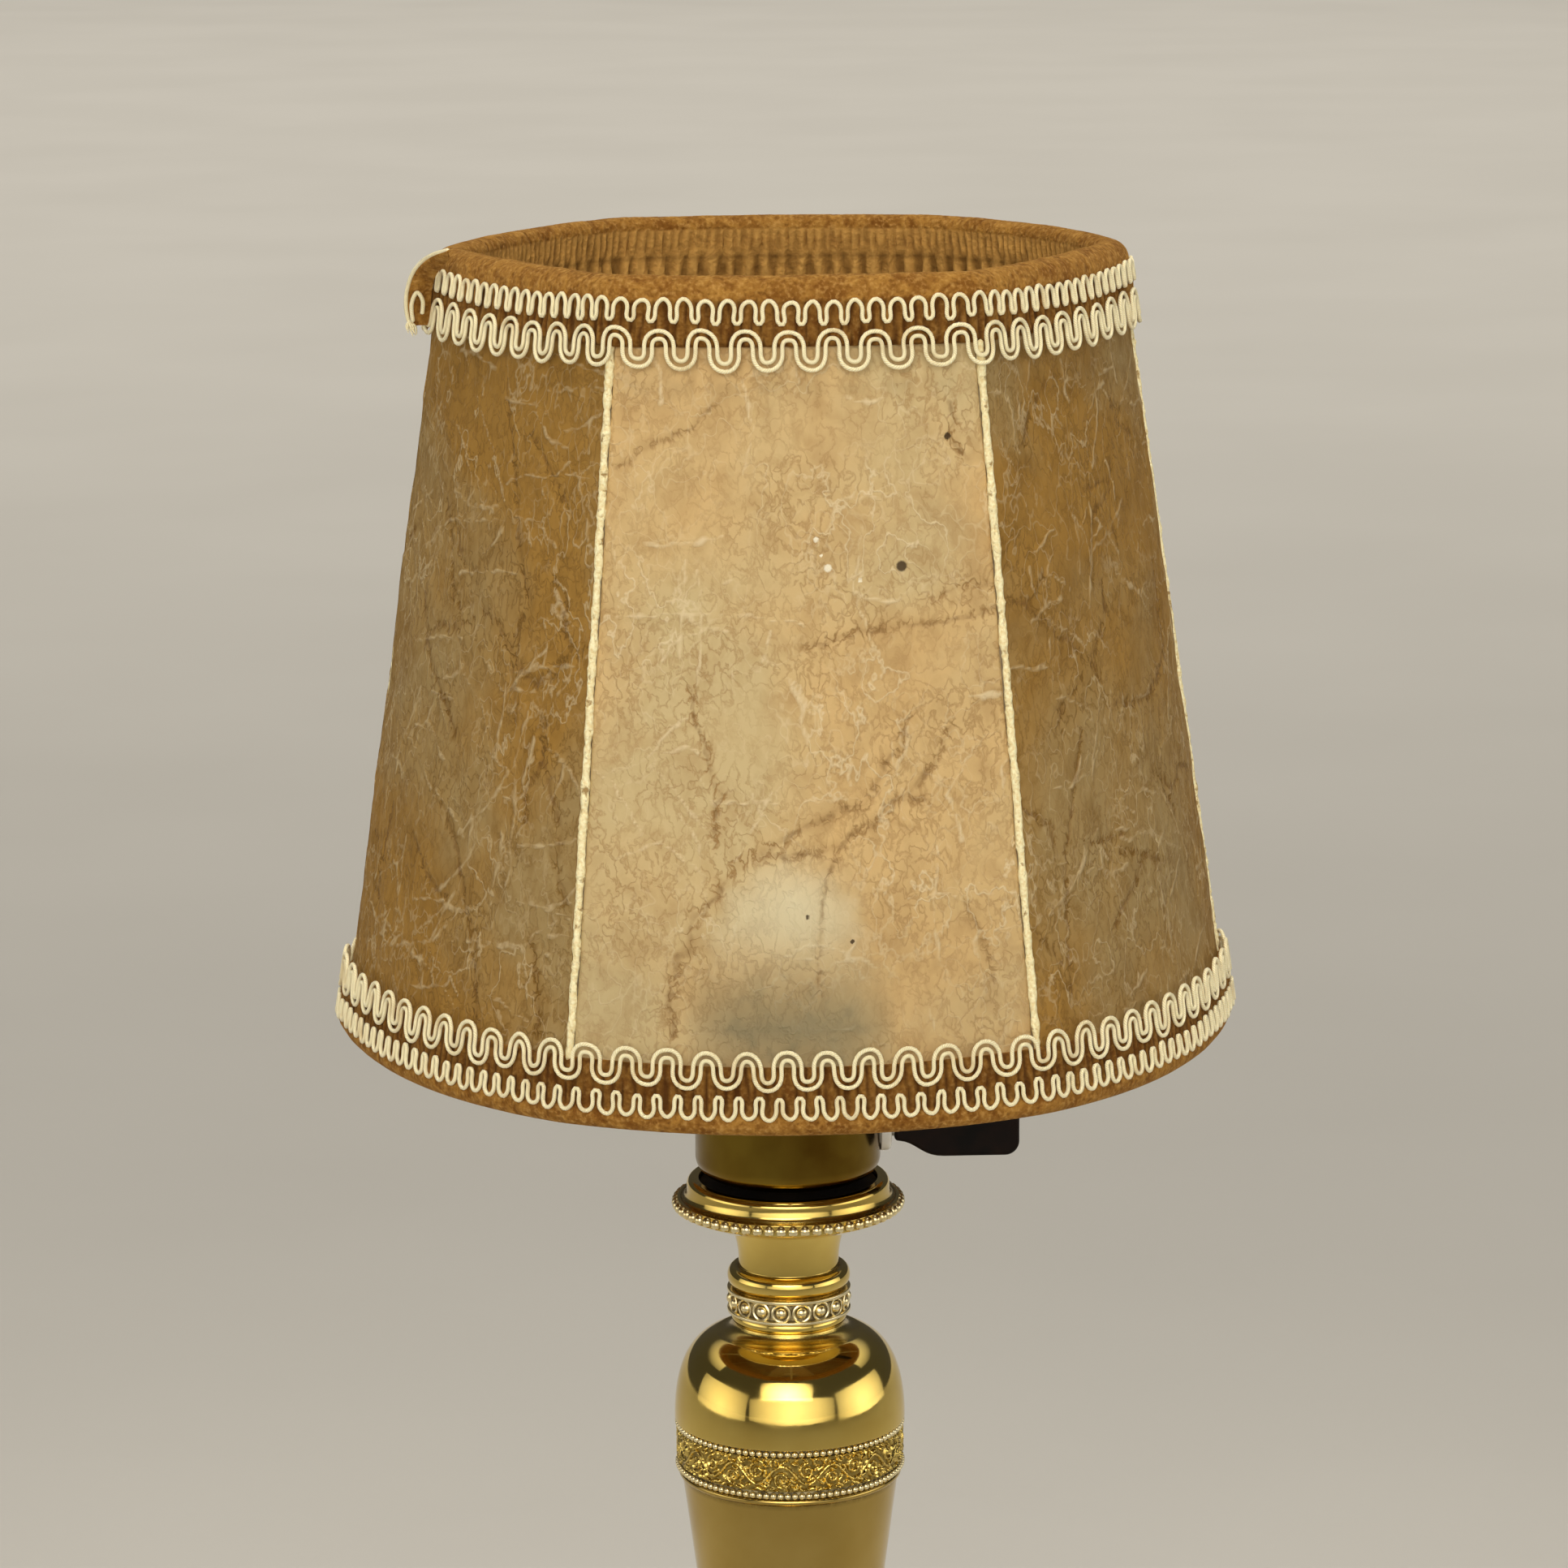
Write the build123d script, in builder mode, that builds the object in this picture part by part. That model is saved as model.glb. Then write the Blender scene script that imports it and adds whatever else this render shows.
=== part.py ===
from build123d import *
import math
import os

# Electric table lamp in the form of a turned brass candlestick, with a six-panel parchment shade.
# Origin under the middle of the foot, +Z up, front panel towards -Y, switch key towards +X.
# All sizes are in millimetres.

os.makedirs("parts", exist_ok=True)

# Fits and clearances
slip_fit = 0.1  # bores of the stacked pieces on the stem tube
running_fit = 0.08  # spindle in its bush, sprung contact in its bore
turning_gap = 0.3  # between pieces that turn past each other
resting_gap = 0.05  # trim over what it covers, bulb on its contact
loose_gap = 0.2  # disc, insert and weight in their housings

# Stem tube and its fastening under the foot
tube_r = 5.0
tube_wall = 1.2
tube_below_nut = 1.0
nut_across_flats = 14.0
nut_h = 3.0
washer_r = 11.0
washer_t = 1.2

# Foot
felt_t = 2.0
felt_inset = 1.5
foot_r = 58.0
plinth_h = 12.0
plinth_round = 2.0
ledge_w = 7.0
tread_h = 4.0
tread_w = 6.0
rise_h = 28.0
rise_swell = 13.0
rise_waist = 20.0
foot_neck_r = 12.0
foot_wall = 2.5
foot_plug_h = 5.0
foot_bead_r = 1.5
weight_air = 0.5
cord_r = 2.8
bush_wall = 1.0
bush_flange_w = 0.9
bush_flange_t = 1.2
bush_above_foot = 0.3
bush_inside = 2.5

# Knop between foot and column
knop_r = 15.5
knop_band_h = 1.5
knop_roll_h = 5.0

# Column
column_bottom_r = 12.4
column_top_r = 24.4
column_h = 91.0
column_wall = 2.0
column_plug_h = 5.0
column_lip_w = 0.8
column_lip_h = 1.6

# Chased band with a pearl line above and below
frieze_proud = 1.0
frieze_h = 7.8
pearl_line_h = 1.9
pearl_line_proud = 0.6
pearl_line_seat = 0.3

# Shoulder
shoulder_over = 1.6
shoulder_h = 22.6
shoulder_belly = 11.8
shoulder_roll = 7.7
shoulder_fall = 4.5
shoulder_plug_h = 4.0
neck_r = 12.3

# Neck ring, studded collar and nozzle
neck_ring_h = 2.4
neck_ring_proud = 0.6
collar_r = 13.0
collar_h = 5.6
collar_fillet_w = 0.6
collar_fillet_h = 0.8
stud_count = 18
stud_ball_r = 2.2
stud_proud = 0.9
nozzle_h = 15.2
nozzle_foot_h = 0.4
nozzle_ring_h = 4.4
nozzle_ring_proud = 1.5
nozzle_waist_r = 12.2
nozzle_waist_rise = 4.0
nozzle_top_r = 13.1

# Drip pan
pan_mouth_r = 20.0
pan_mouth_depth = 4.5
pan_lip_w = 2.7
pan_step_w = 2.2
pan_under_h = 3.2
pan_pearl_h = 2.6
pan_pearl_proud = 1.3
pan_cove_h = 2.6
pan_lip_h = 2.6
pan_lip_round = 1.4
disc_t = 2.5

# Lampholder
cap_neck_r = 8.0
cap_neck_h = 4.3
cap_r = 20.7
cap_h = 20.7
cap_corner = 2.4
cap_wall = 1.0
cap_floor_t = 1.4
cap_ledge_rise = 11.7
cap_ledge_w = 1.5
cap_boss_h = 4.7
tube_short_of_boss = 1.0
grub_r = 1.5
grub_sunk = 0.3
insert_flange_h = 3.4
insert_h = 14.0
insert_recess_r = 6.0
insert_recess_h = 6.0
terminal_ring_r = 11.0
terminal_spread = 30.0
terminal_head_r = 2.2
terminal_head_h = 2.4
terminal_shank_r = 1.4
terminal_shank_h = 4.0
sleeve_h = 27.0
sleeve_wall = 0.6
sleeve_floor_t = 0.8
sleeve_floor_w = 6.5
shell_h = 51.6
shell_wall = 0.8
seat_rise = 26.6
seat_w = 2.4
seat_t = 2.2
shade_nut_h = 6.0
shade_nut_w = 4.4
shade_nut_notch_r = 1.0
shade_nut_notches = 24

# Turn switch
spindle_rise = 7.1
spindle_r = 1.4
switch_bush_r = 3.5
switch_bush_inside = 1.2
switch_collar_r = 4.6
switch_collar_t = 2.4
drum_r = 3.4
drum_len = 6.0
drum_gap = 1.0
spindle_tail = 0.5
leaf_w = 4.0
leaf_t = 0.5
leaf_gap = 0.4
leaf_len = 7.0
key_gap = 0.7
key_len = 28.0
key_w = 9.6
key_t = 4.2
key_neck_w = 4.6
key_flare_len = 11.0
key_corner_r = 2.0
key_socket = 8.0

# Sprung centre contact and bulb
contact_r = 2.0
contact_tail = 9.0
contact_rise = 3.0
contact_head_r = 4.5
contact_head_t = 1.5
thread_r = 13.05
thread_gap = 0.3
bulb_len = 76.0
bulb_contact_r = 4.8
bulb_contact_t = 0.9
bulb_insulator_r = 9.0
bulb_insulator_h = 2.5
bulb_cap_h = 20.0
bulb_cap_wall = 0.5
bulb_cap_cone_h = 2.0
glass_r = 22.5
glass_wall = 0.8
glass_seat = 6.0
glass_neck_h = 6.5
glass_throat_r = 14.0
mount_flange_h = 2.0
mount_h = 22.0
mount_tip_r = 2.5
lead_r = 0.3
filament_r = 0.5
lead_root = 1.2
filament_half = 6.0

# Shade
shade_bottom_r = 98.3
shade_top_r = 73.1
shade_h = 173.0
bottom_bow = 9.0
top_bow = 3.2
panel_t = 0.6
seam_gap = 1.7
lace_r = 0.8
wire_r = 1.25
rib_r = 1.0
wire_corner_r = 6.0
binding_t = 1.0
binding_h = 17.5
braid_t = 1.5
braid_h = 15.0
braid_edge = 3.4
carrier_t = 2.0
carrier_w = 7.0
carrier_drop = 9.1
carrier_lift = 0.1
arm_r = 1.5

# Radii that follow from the driving dimensions
tube_bore_r = tube_r + slip_fit
tread_r = foot_r - ledge_w
dome_r = tread_r - tread_w
column_inner_r = column_top_r - column_wall
frieze_r = column_top_r + frieze_proud
pearl_seat_r = frieze_r - pearl_line_seat
shoulder_r = column_top_r + shoulder_over
pan_moulding_r = pan_mouth_r + pan_lip_w
pan_r = pan_moulding_r + pan_step_w
cap_inner_r = cap_r - cap_wall
cap_lower_r = cap_inner_r - cap_ledge_w
shell_r = cap_inner_r - slip_fit
shell_inner_r = shell_r - shell_wall
sleeve_inner_r = thread_r + thread_gap
sleeve_r = sleeve_inner_r + sleeve_wall
carrier_inner_r = shell_r + turning_gap
carrier_r = carrier_inner_r + carrier_w

# Heights of the stack, from the table up
foot_z = felt_t
ledge_z = foot_z + plinth_h
tread_z = ledge_z + tread_h
ceiling_z = tread_z - foot_wall
knop_z = tread_z + rise_h
column_z = knop_z + 2 * knop_band_h + knop_roll_h
column_top_z = column_z + column_h
band_z = column_top_z + column_lip_h
band_h = frieze_h + 2 * pearl_line_h
upper_pearl_z = band_z + pearl_line_h + frieze_h
shoulder_z = band_z + band_h
neck_ring_z = shoulder_z + shoulder_h
collar_z = neck_ring_z + neck_ring_h
nozzle_z = collar_z + collar_h
pan_z = nozzle_z + nozzle_h
pan_pearl_z = pan_z + pan_under_h
pan_cove_z = pan_pearl_z + pan_pearl_h
pan_lip_z = pan_cove_z + pan_cove_h
pan_top_z = pan_lip_z + pan_lip_h
disc_z = pan_top_z - pan_mouth_depth
cap_neck_z = disc_z + disc_t
cap_z = cap_neck_z + cap_neck_h
spindle_z = cap_z + spindle_rise
insert_z = cap_z + cap_ledge_rise
insert_top_z = insert_z + insert_h
shell_z = insert_z + insert_flange_h
seat_z = shell_z + seat_rise
carrier_z = seat_z + carrier_lift
shade_nut_z = carrier_z + carrier_t + turning_gap
shade_z = carrier_z - carrier_drop
shade_top_z = shade_z + shade_h
tube_top_z = cap_z + cap_boss_h - tube_short_of_boss

# Underside of the foot: the weight hangs from the ceiling, and its recess takes the nut and the tube end
weight_z = foot_z + weight_air
weight_r = tread_r - foot_wall - loose_gap
nut_recess_h = washer_t + nut_h + tube_below_nut
recess_ceiling_z = weight_z + nut_recess_h
washer_z = recess_ceiling_z - washer_t
nut_z = washer_z - nut_h
tube_z = weight_z
bush_r = cord_r + bush_wall
bush_flange_r = bush_r + bush_flange_w
cord_z = foot_z + bush_above_foot + bush_flange_r

# Felt pad
with BuildPart() as felt_pad:
    with BuildSketch():
        Circle(foot_r - felt_inset)
    extrude(amount=felt_t)

# Hollow foot: plinth, tread and a bell-shaped rise to its neck
with BuildPart() as foot:
    with BuildSketch(Plane.XZ):
        with BuildLine():
            Polyline((tube_bore_r, knop_z - foot_plug_h), (tube_bore_r, knop_z), (foot_neck_r, knop_z))
            Bezier(
                (foot_neck_r, knop_z),
                (foot_neck_r, knop_z - rise_waist),
                (dome_r, tread_z + rise_swell),
                (dome_r, tread_z),
            )
            Polyline(
                (dome_r, tread_z),
                (tread_r, tread_z),
                (tread_r, ledge_z),
                (foot_r - plinth_round, ledge_z),
            )
            RadiusArc((foot_r - plinth_round, ledge_z), (foot_r, ledge_z - plinth_round), plinth_round)
            Polyline(
                (foot_r, ledge_z - plinth_round),
                (foot_r, foot_z),
                (foot_r - foot_wall, foot_z),
                (foot_r - foot_wall, ledge_z - foot_wall),
                (tread_r - foot_wall, ledge_z - foot_wall),
                (tread_r - foot_wall, ceiling_z),
                (dome_r - foot_wall, ceiling_z),
            )
            Bezier(
                (dome_r - foot_wall, ceiling_z),
                (dome_r - foot_wall, ceiling_z + rise_swell),
                (foot_neck_r - foot_wall, knop_z - rise_waist - foot_wall),
                (foot_neck_r - foot_wall, knop_z - foot_plug_h),
            )
            Line((foot_neck_r - foot_wall, knop_z - foot_plug_h), (tube_bore_r, knop_z - foot_plug_h))
        make_face()
    revolve(axis=Axis.Z)
    with BuildSketch(Plane((0, tread_r, cord_z), x_dir=(1, 0, 0), z_dir=(0, 1, 0))):
        Circle(bush_r)
    extrude(amount=ledge_w, mode=Mode.SUBTRACT)

# Pearled ring lying on the plinth
with BuildPart() as foot_bead_ring:
    with BuildSketch(Plane.XZ):
        with Locations((foot_r - plinth_round - foot_bead_r, ledge_z)):
            Circle(foot_bead_r)
        with Locations((foot_r - plinth_round - foot_bead_r, ledge_z - foot_bead_r)):
            Rectangle(2 * foot_bead_r, 2 * foot_bead_r, mode=Mode.SUBTRACT)
    revolve(axis=Axis.Z)

# Inlet bush for the flex, through the back of the plinth
with BuildPart() as cord_bush:
    bush_plane = Plane((0, foot_r - foot_wall - bush_inside, cord_z), x_dir=(1, 0, 0), z_dir=(0, 1, 0))
    with BuildSketch(bush_plane):
        Circle(bush_r)
    extrude(amount=foot_wall + bush_inside)
    with BuildSketch(bush_plane.offset(foot_wall + bush_inside)):
        Circle(bush_flange_r)
    extrude(amount=bush_flange_t)
    with BuildSketch(bush_plane):
        Circle(cord_r)
    extrude(amount=foot_wall + bush_inside + bush_flange_t, mode=Mode.SUBTRACT)

# Iron weight with a nut recess and a slot for the flex
with BuildPart() as base_weight:
    with BuildSketch(Plane.XY.offset(weight_z)):
        Circle(weight_r)
        Circle(tube_bore_r, mode=Mode.SUBTRACT)
    extrude(amount=ceiling_z - weight_z)
    with BuildSketch(Plane.XY.offset(weight_z)):
        Circle(washer_r + loose_gap)
        with Locations((0, weight_r)):
            Rectangle(2 * bush_flange_r, 2 * (weight_r - washer_r), align=(Align.CENTER, Align.CENTER))
    extrude(amount=nut_recess_h, mode=Mode.SUBTRACT)

with BuildPart() as base_washer:
    with BuildSketch(Plane.XY.offset(washer_z)):
        Circle(washer_r)
        Circle(tube_bore_r, mode=Mode.SUBTRACT)
    extrude(amount=washer_t)

with BuildPart() as base_nut:
    with BuildSketch(Plane.XY.offset(nut_z)):
        RegularPolygon(nut_across_flats / 2, 6, major_radius=False)
        Circle(tube_bore_r, mode=Mode.SUBTRACT)
    extrude(amount=nut_h)

# Hollow stem tube from the nut to the lampholder
with BuildPart() as stem_tube:
    with BuildSketch(Plane.XY.offset(tube_z)):
        Circle(tube_r)
        Circle(tube_r - tube_wall, mode=Mode.SUBTRACT)
    extrude(amount=tube_top_z - tube_z)

# Turned knop
with BuildPart() as foot_knop:
    roll_z = knop_z + knop_band_h
    with BuildSketch(Plane.XZ):
        with BuildLine():
            Polyline(
                (tube_bore_r, column_z),
                (tube_bore_r, knop_z),
                (foot_neck_r, knop_z),
                (foot_neck_r, roll_z),
            )
            EllipticalCenterArc(
                (foot_neck_r, roll_z + knop_roll_h / 2),
                knop_r - foot_neck_r,
                knop_roll_h / 2,
                start_angle=-90,
                arc_size=180,
            )
            Polyline(
                (foot_neck_r, roll_z + knop_roll_h),
                (column_bottom_r, roll_z + knop_roll_h),
                (column_bottom_r, column_z),
                (tube_bore_r, column_z),
            )
        make_face()
    revolve(axis=Axis.Z)

# Hollow tapered column with a thin lip
with BuildPart() as column:
    with BuildSketch(Plane.XZ):
        with BuildLine():
            Polyline(
                (tube_bore_r, column_z),
                (column_bottom_r, column_z),
                (column_top_r, column_top_z),
                (column_top_r + column_lip_w, column_top_z),
                (column_top_r + column_lip_w, band_z),
                (column_inner_r, band_z),
                (column_inner_r, column_top_z),
                (column_bottom_r - column_wall, column_z + column_plug_h),
                (tube_bore_r, column_z + column_plug_h),
                close=True,
            )
        make_face()
    revolve(axis=Axis.Z)

# Chased band, rebated for its two pearl lines
with BuildPart() as frieze_band:
    with BuildSketch(Plane.XZ):
        with BuildLine():
            Polyline(
                (column_inner_r, band_z),
                (pearl_seat_r, band_z),
                (pearl_seat_r, band_z + pearl_line_h),
                (frieze_r, band_z + pearl_line_h),
                (frieze_r, upper_pearl_z),
                (pearl_seat_r, upper_pearl_z),
                (pearl_seat_r, shoulder_z),
                (column_inner_r, shoulder_z),
                close=True,
            )
        make_face()
    revolve(axis=Axis.Z)


def half_round_ring(inner_r, outer_r, low_z, height):
    """Ring with a flat inner wall and a round outer face."""
    with BuildPart() as ring:
        with BuildSketch(Plane.XZ):
            with BuildLine():
                middle = (inner_r, low_z + height / 2)
                EllipticalCenterArc(middle, outer_r - inner_r, height / 2, start_angle=-90, arc_size=180)
                Line((inner_r, low_z + height), (inner_r, low_z))
            make_face()
        revolve(axis=Axis.Z)
    return ring


lower_bead_line = half_round_ring(pearl_seat_r, frieze_r + pearl_line_proud, band_z, pearl_line_h)
upper_bead_line = half_round_ring(pearl_seat_r, frieze_r + pearl_line_proud, upper_pearl_z, pearl_line_h)
pan_bead_ring = half_round_ring(pan_r, pan_r + pan_pearl_proud, pan_pearl_z, pan_pearl_h)

# Hollow domed shoulder
with BuildPart() as shoulder:
    inner_cut = shoulder_r - column_inner_r
    with BuildSketch(Plane.XZ):
        with BuildLine():
            Line((column_inner_r, shoulder_z), (shoulder_r, shoulder_z))
            Bezier(
                (shoulder_r, shoulder_z),
                (shoulder_r, shoulder_z + shoulder_belly),
                (neck_r + shoulder_roll, neck_ring_z - shoulder_fall),
                (neck_r, neck_ring_z),
            )
            Polyline(
                (neck_r, neck_ring_z),
                (tube_bore_r, neck_ring_z),
                (tube_bore_r, neck_ring_z - shoulder_plug_h),
                (neck_r - inner_cut, neck_ring_z - shoulder_plug_h),
            )
            Bezier(
                (neck_r - inner_cut, neck_ring_z - shoulder_plug_h),
                (neck_r + shoulder_roll - inner_cut, neck_ring_z - shoulder_fall - shoulder_plug_h),
                (column_inner_r, shoulder_z + shoulder_belly - shoulder_plug_h),
                (column_inner_r, shoulder_z),
            )
        make_face()
    revolve(axis=Axis.Z)

# Half-round ring at the foot of the neck
with BuildPart() as neck_ring:
    with BuildSketch(Plane.XZ):
        with BuildLine():
            Polyline(
                (neck_r, collar_z),
                (tube_bore_r, collar_z),
                (tube_bore_r, neck_ring_z),
                (neck_r, neck_ring_z),
            )
            EllipticalCenterArc(
                (neck_r, neck_ring_z + neck_ring_h / 2),
                neck_ring_proud,
                neck_ring_h / 2,
                start_angle=-90,
                arc_size=180,
            )
        make_face()
    revolve(axis=Axis.Z)

# Collar with a row of round studs between two fillets
with BuildPart() as studded_collar:
    fillet_r = collar_r + collar_fillet_w
    with BuildSketch(Plane.XZ):
        with BuildLine():
            Polyline(
                (tube_bore_r, collar_z),
                (fillet_r, collar_z),
                (fillet_r, collar_z + collar_fillet_h),
                (collar_r, collar_z + collar_fillet_h),
                (collar_r, nozzle_z - collar_fillet_h),
                (fillet_r, nozzle_z - collar_fillet_h),
                (fillet_r, nozzle_z),
                (tube_bore_r, nozzle_z),
                close=True,
            )
        make_face()
    revolve(axis=Axis.Z)
    with Locations((0, 0, collar_z + collar_h / 2)):
        with PolarLocations(collar_r + stud_proud - stud_ball_r, stud_count):
            Sphere(stud_ball_r)

# Waisted nozzle with a half-round ring at its foot
with BuildPart() as nozzle:
    ring_z = nozzle_z + nozzle_foot_h
    waist_z = ring_z + nozzle_ring_h
    with BuildSketch(Plane.XZ):
        with BuildLine():
            Polyline((tube_bore_r, pan_z), (tube_bore_r, nozzle_z), (neck_r, nozzle_z), (neck_r, ring_z))
            EllipticalCenterArc(
                (neck_r, ring_z + nozzle_ring_h / 2),
                nozzle_ring_proud,
                nozzle_ring_h / 2,
                start_angle=-90,
                arc_size=180,
            )
            ThreePointArc(
                (neck_r, waist_z), (nozzle_waist_r, waist_z + nozzle_waist_rise), (nozzle_top_r, pan_z)
            )
            Line((nozzle_top_r, pan_z), (tube_bore_r, pan_z))
        make_face()
    revolve(axis=Axis.Z)

# Drip pan: dished underside, seat for the pearls, cove and rolled lip
with BuildPart() as drip_pan:
    with BuildSketch(Plane.XZ):
        with BuildLine():
            Polyline((tube_bore_r, disc_z), (tube_bore_r, pan_z), (nozzle_top_r, pan_z))
            TangentArc((nozzle_top_r, pan_z), (pan_r, pan_pearl_z), tangent=(1, 0))
            Line((pan_r, pan_pearl_z), (pan_r, pan_cove_z))
            TangentArc((pan_r, pan_cove_z), (pan_moulding_r, pan_lip_z), tangent=(-1, 0))
            Line((pan_moulding_r, pan_lip_z), (pan_moulding_r, pan_top_z - pan_lip_round))
            RadiusArc(
                (pan_moulding_r, pan_top_z - pan_lip_round),
                (pan_moulding_r - pan_lip_round, pan_top_z),
                -pan_lip_round,
            )
            Polyline(
                (pan_moulding_r - pan_lip_round, pan_top_z),
                (pan_mouth_r, pan_top_z),
                (pan_mouth_r, disc_z),
                (tube_bore_r, disc_z),
            )
        make_face()
    revolve(axis=Axis.Z)

# Black insulating disc in the mouth of the pan
with BuildPart() as insulating_disc:
    with BuildSketch(Plane.XY.offset(disc_z)):
        Circle(pan_mouth_r - loose_gap)
        Circle(tube_bore_r, mode=Mode.SUBTRACT)
    extrude(amount=disc_t)

# Lampholder cap: neck, cup with a rounded lower edge, inner ledge and threaded boss
grub_plane = Plane((0, tube_bore_r, cap_neck_z + cap_neck_h / 2), x_dir=(1, 0, 0), z_dir=(0, 1, 0))
spindle_plane = Plane((0, 0, spindle_z), x_dir=(0, 1, 0), z_dir=(1, 0, 0))
with BuildPart() as holder_cap:
    with BuildSketch(Plane.XZ):
        with BuildLine():
            Polyline(
                (tube_bore_r, cap_neck_z),
                (cap_neck_r, cap_neck_z),
                (cap_neck_r, cap_z),
                (cap_r - cap_corner, cap_z),
            )
            RadiusArc((cap_r - cap_corner, cap_z), (cap_r, cap_z + cap_corner), -cap_corner)
            Polyline(
                (cap_r, cap_z + cap_corner),
                (cap_r, cap_z + cap_h),
                (cap_inner_r, cap_z + cap_h),
                (cap_inner_r, insert_z),
                (cap_lower_r, insert_z),
                (cap_lower_r, cap_z + cap_corner),
                (cap_lower_r - cap_corner, cap_z + cap_floor_t),
                (cap_neck_r, cap_z + cap_floor_t),
                (cap_neck_r, cap_z + cap_boss_h),
                (tube_bore_r, cap_z + cap_boss_h),
                (tube_bore_r, cap_neck_z),
            )
        make_face()
    revolve(axis=Axis.Z)
    with BuildSketch(grub_plane):
        Circle(grub_r)
    extrude(amount=cap_neck_r - tube_r, mode=Mode.SUBTRACT)
    with BuildSketch(spindle_plane):
        Circle(switch_bush_r)
    extrude(amount=cap_r + switch_collar_t, mode=Mode.SUBTRACT)

with BuildPart() as cap_grub_screw:
    with BuildSketch(grub_plane):
        Circle(grub_r)
    extrude(amount=cap_neck_r - tube_bore_r - grub_sunk)

# Porcelain bush of the switch spindle
switch_bush_x = cap_lower_r - switch_bush_inside
with BuildPart() as switch_bush:
    with BuildSketch(spindle_plane.offset(switch_bush_x)):
        Circle(switch_bush_r)
    extrude(amount=cap_r - switch_bush_x)
    with BuildSketch(spindle_plane.offset(cap_r)):
        Circle(switch_collar_r)
    extrude(amount=switch_collar_t)
    with BuildSketch(spindle_plane.offset(switch_bush_x)):
        Circle(spindle_r + running_fit)
    extrude(amount=cap_r + switch_collar_t - switch_bush_x, mode=Mode.SUBTRACT)

# Spindle, drum and key turn together
drum_x = switch_bush_x - drum_gap - drum_len
key_x = cap_r + switch_collar_t + key_gap
with BuildPart() as switch_spindle:
    with BuildSketch(spindle_plane.offset(drum_x - spindle_tail)):
        Circle(spindle_r)
    extrude(amount=key_x + key_socket - drum_x + spindle_tail)

with BuildPart() as switch_drum:
    with BuildSketch(spindle_plane.offset(drum_x)):
        Circle(drum_r)
        Circle(spindle_r, mode=Mode.SUBTRACT)
    extrude(amount=drum_len)

# Flat paddle key, narrow at its root
with BuildPart() as switch_key:
    with BuildSketch(Plane.XZ):
        with BuildLine():
            Polyline(
                (key_x, spindle_z - key_neck_w / 2),
                (key_x + key_flare_len, spindle_z - key_w / 2),
                (key_x + key_len, spindle_z - key_w / 2),
                (key_x + key_len, spindle_z + key_w / 2),
                (key_x + key_flare_len, spindle_z + key_w / 2),
                (key_x, spindle_z + key_neck_w / 2),
                close=True,
            )
        outline = make_face()
        fillet(outline.vertices().group_by(Axis.X)[-1], key_corner_r)
    extrude(amount=key_t / 2, both=True)
    with BuildSketch(spindle_plane.offset(key_x)):
        Circle(spindle_r)
    extrude(amount=key_socket, mode=Mode.SUBTRACT)

# Two leaf contacts hang from the insert beside the drum
with BuildPart() as switch_contacts:
    for side in (-1, 1):
        with Locations((drum_x + drum_len / 2, side * (drum_r + leaf_gap + leaf_t / 2), insert_z)):
            Box(leaf_w, leaf_t, leaf_len, align=(Align.CENTER, Align.CENTER, Align.MAX))

# Porcelain insert, clamped between the ledge of the cap and the shell
terminal_angles = (180 - terminal_spread, 180 + terminal_spread)
with BuildPart() as holder_insert:
    with BuildSketch(Plane.XY.offset(insert_z)):
        Circle(cap_inner_r - loose_gap)
    extrude(amount=insert_flange_h)
    with BuildSketch(Plane.XY.offset(shell_z)):
        Circle(shell_inner_r - loose_gap)
    extrude(amount=insert_h - insert_flange_h)
    with BuildSketch(Plane.XY.offset(insert_z)):
        Circle(insert_recess_r)
    extrude(amount=insert_recess_h, mode=Mode.SUBTRACT)
    with BuildSketch(Plane.XY.offset(insert_z)):
        Circle(contact_r + running_fit)
    extrude(amount=insert_h, mode=Mode.SUBTRACT)
    with BuildSketch(Plane.XY.offset(insert_z)):
        for angle in terminal_angles:
            with PolarLocations(terminal_ring_r, 1, start_angle=angle):
                Circle(terminal_shank_r)
    extrude(amount=terminal_shank_h, mode=Mode.SUBTRACT)

with BuildPart() as terminal_screws:
    for angle in terminal_angles:
        with BuildSketch(Plane.XY.offset(insert_z - terminal_head_h)):
            with PolarLocations(terminal_ring_r, 1, start_angle=angle):
                Circle(terminal_head_r)
        extrude(amount=terminal_head_h)
        with BuildSketch(Plane.XY.offset(insert_z)):
            with PolarLocations(terminal_ring_r, 1, start_angle=angle):
                Circle(terminal_shank_r)
        extrude(amount=terminal_shank_h)

# Screw sleeve for the bulb
with BuildPart() as thread_sleeve:
    with BuildSketch(Plane.XY.offset(insert_top_z)):
        Circle(sleeve_r)
        Circle(sleeve_inner_r, mode=Mode.SUBTRACT)
    extrude(amount=sleeve_h)
    with BuildSketch(Plane.XY.offset(insert_top_z)):
        Circle(sleeve_r)
        Circle(sleeve_r - sleeve_floor_w, mode=Mode.SUBTRACT)
    extrude(amount=sleeve_floor_t)

# Outer shell with the rolled seat that carries the shade
with BuildPart() as holder_shell:
    with BuildSketch(Plane.XY.offset(shell_z)):
        Circle(shell_r)
    extrude(amount=shell_h)
    with BuildSketch(Plane.XY.offset(seat_z - seat_t)):
        Circle(shell_r + seat_w)
    extrude(amount=seat_t)
    with BuildSketch(Plane.XY.offset(shell_z)):
        Circle(shell_inner_r)
    extrude(amount=shell_h, mode=Mode.SUBTRACT)

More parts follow.
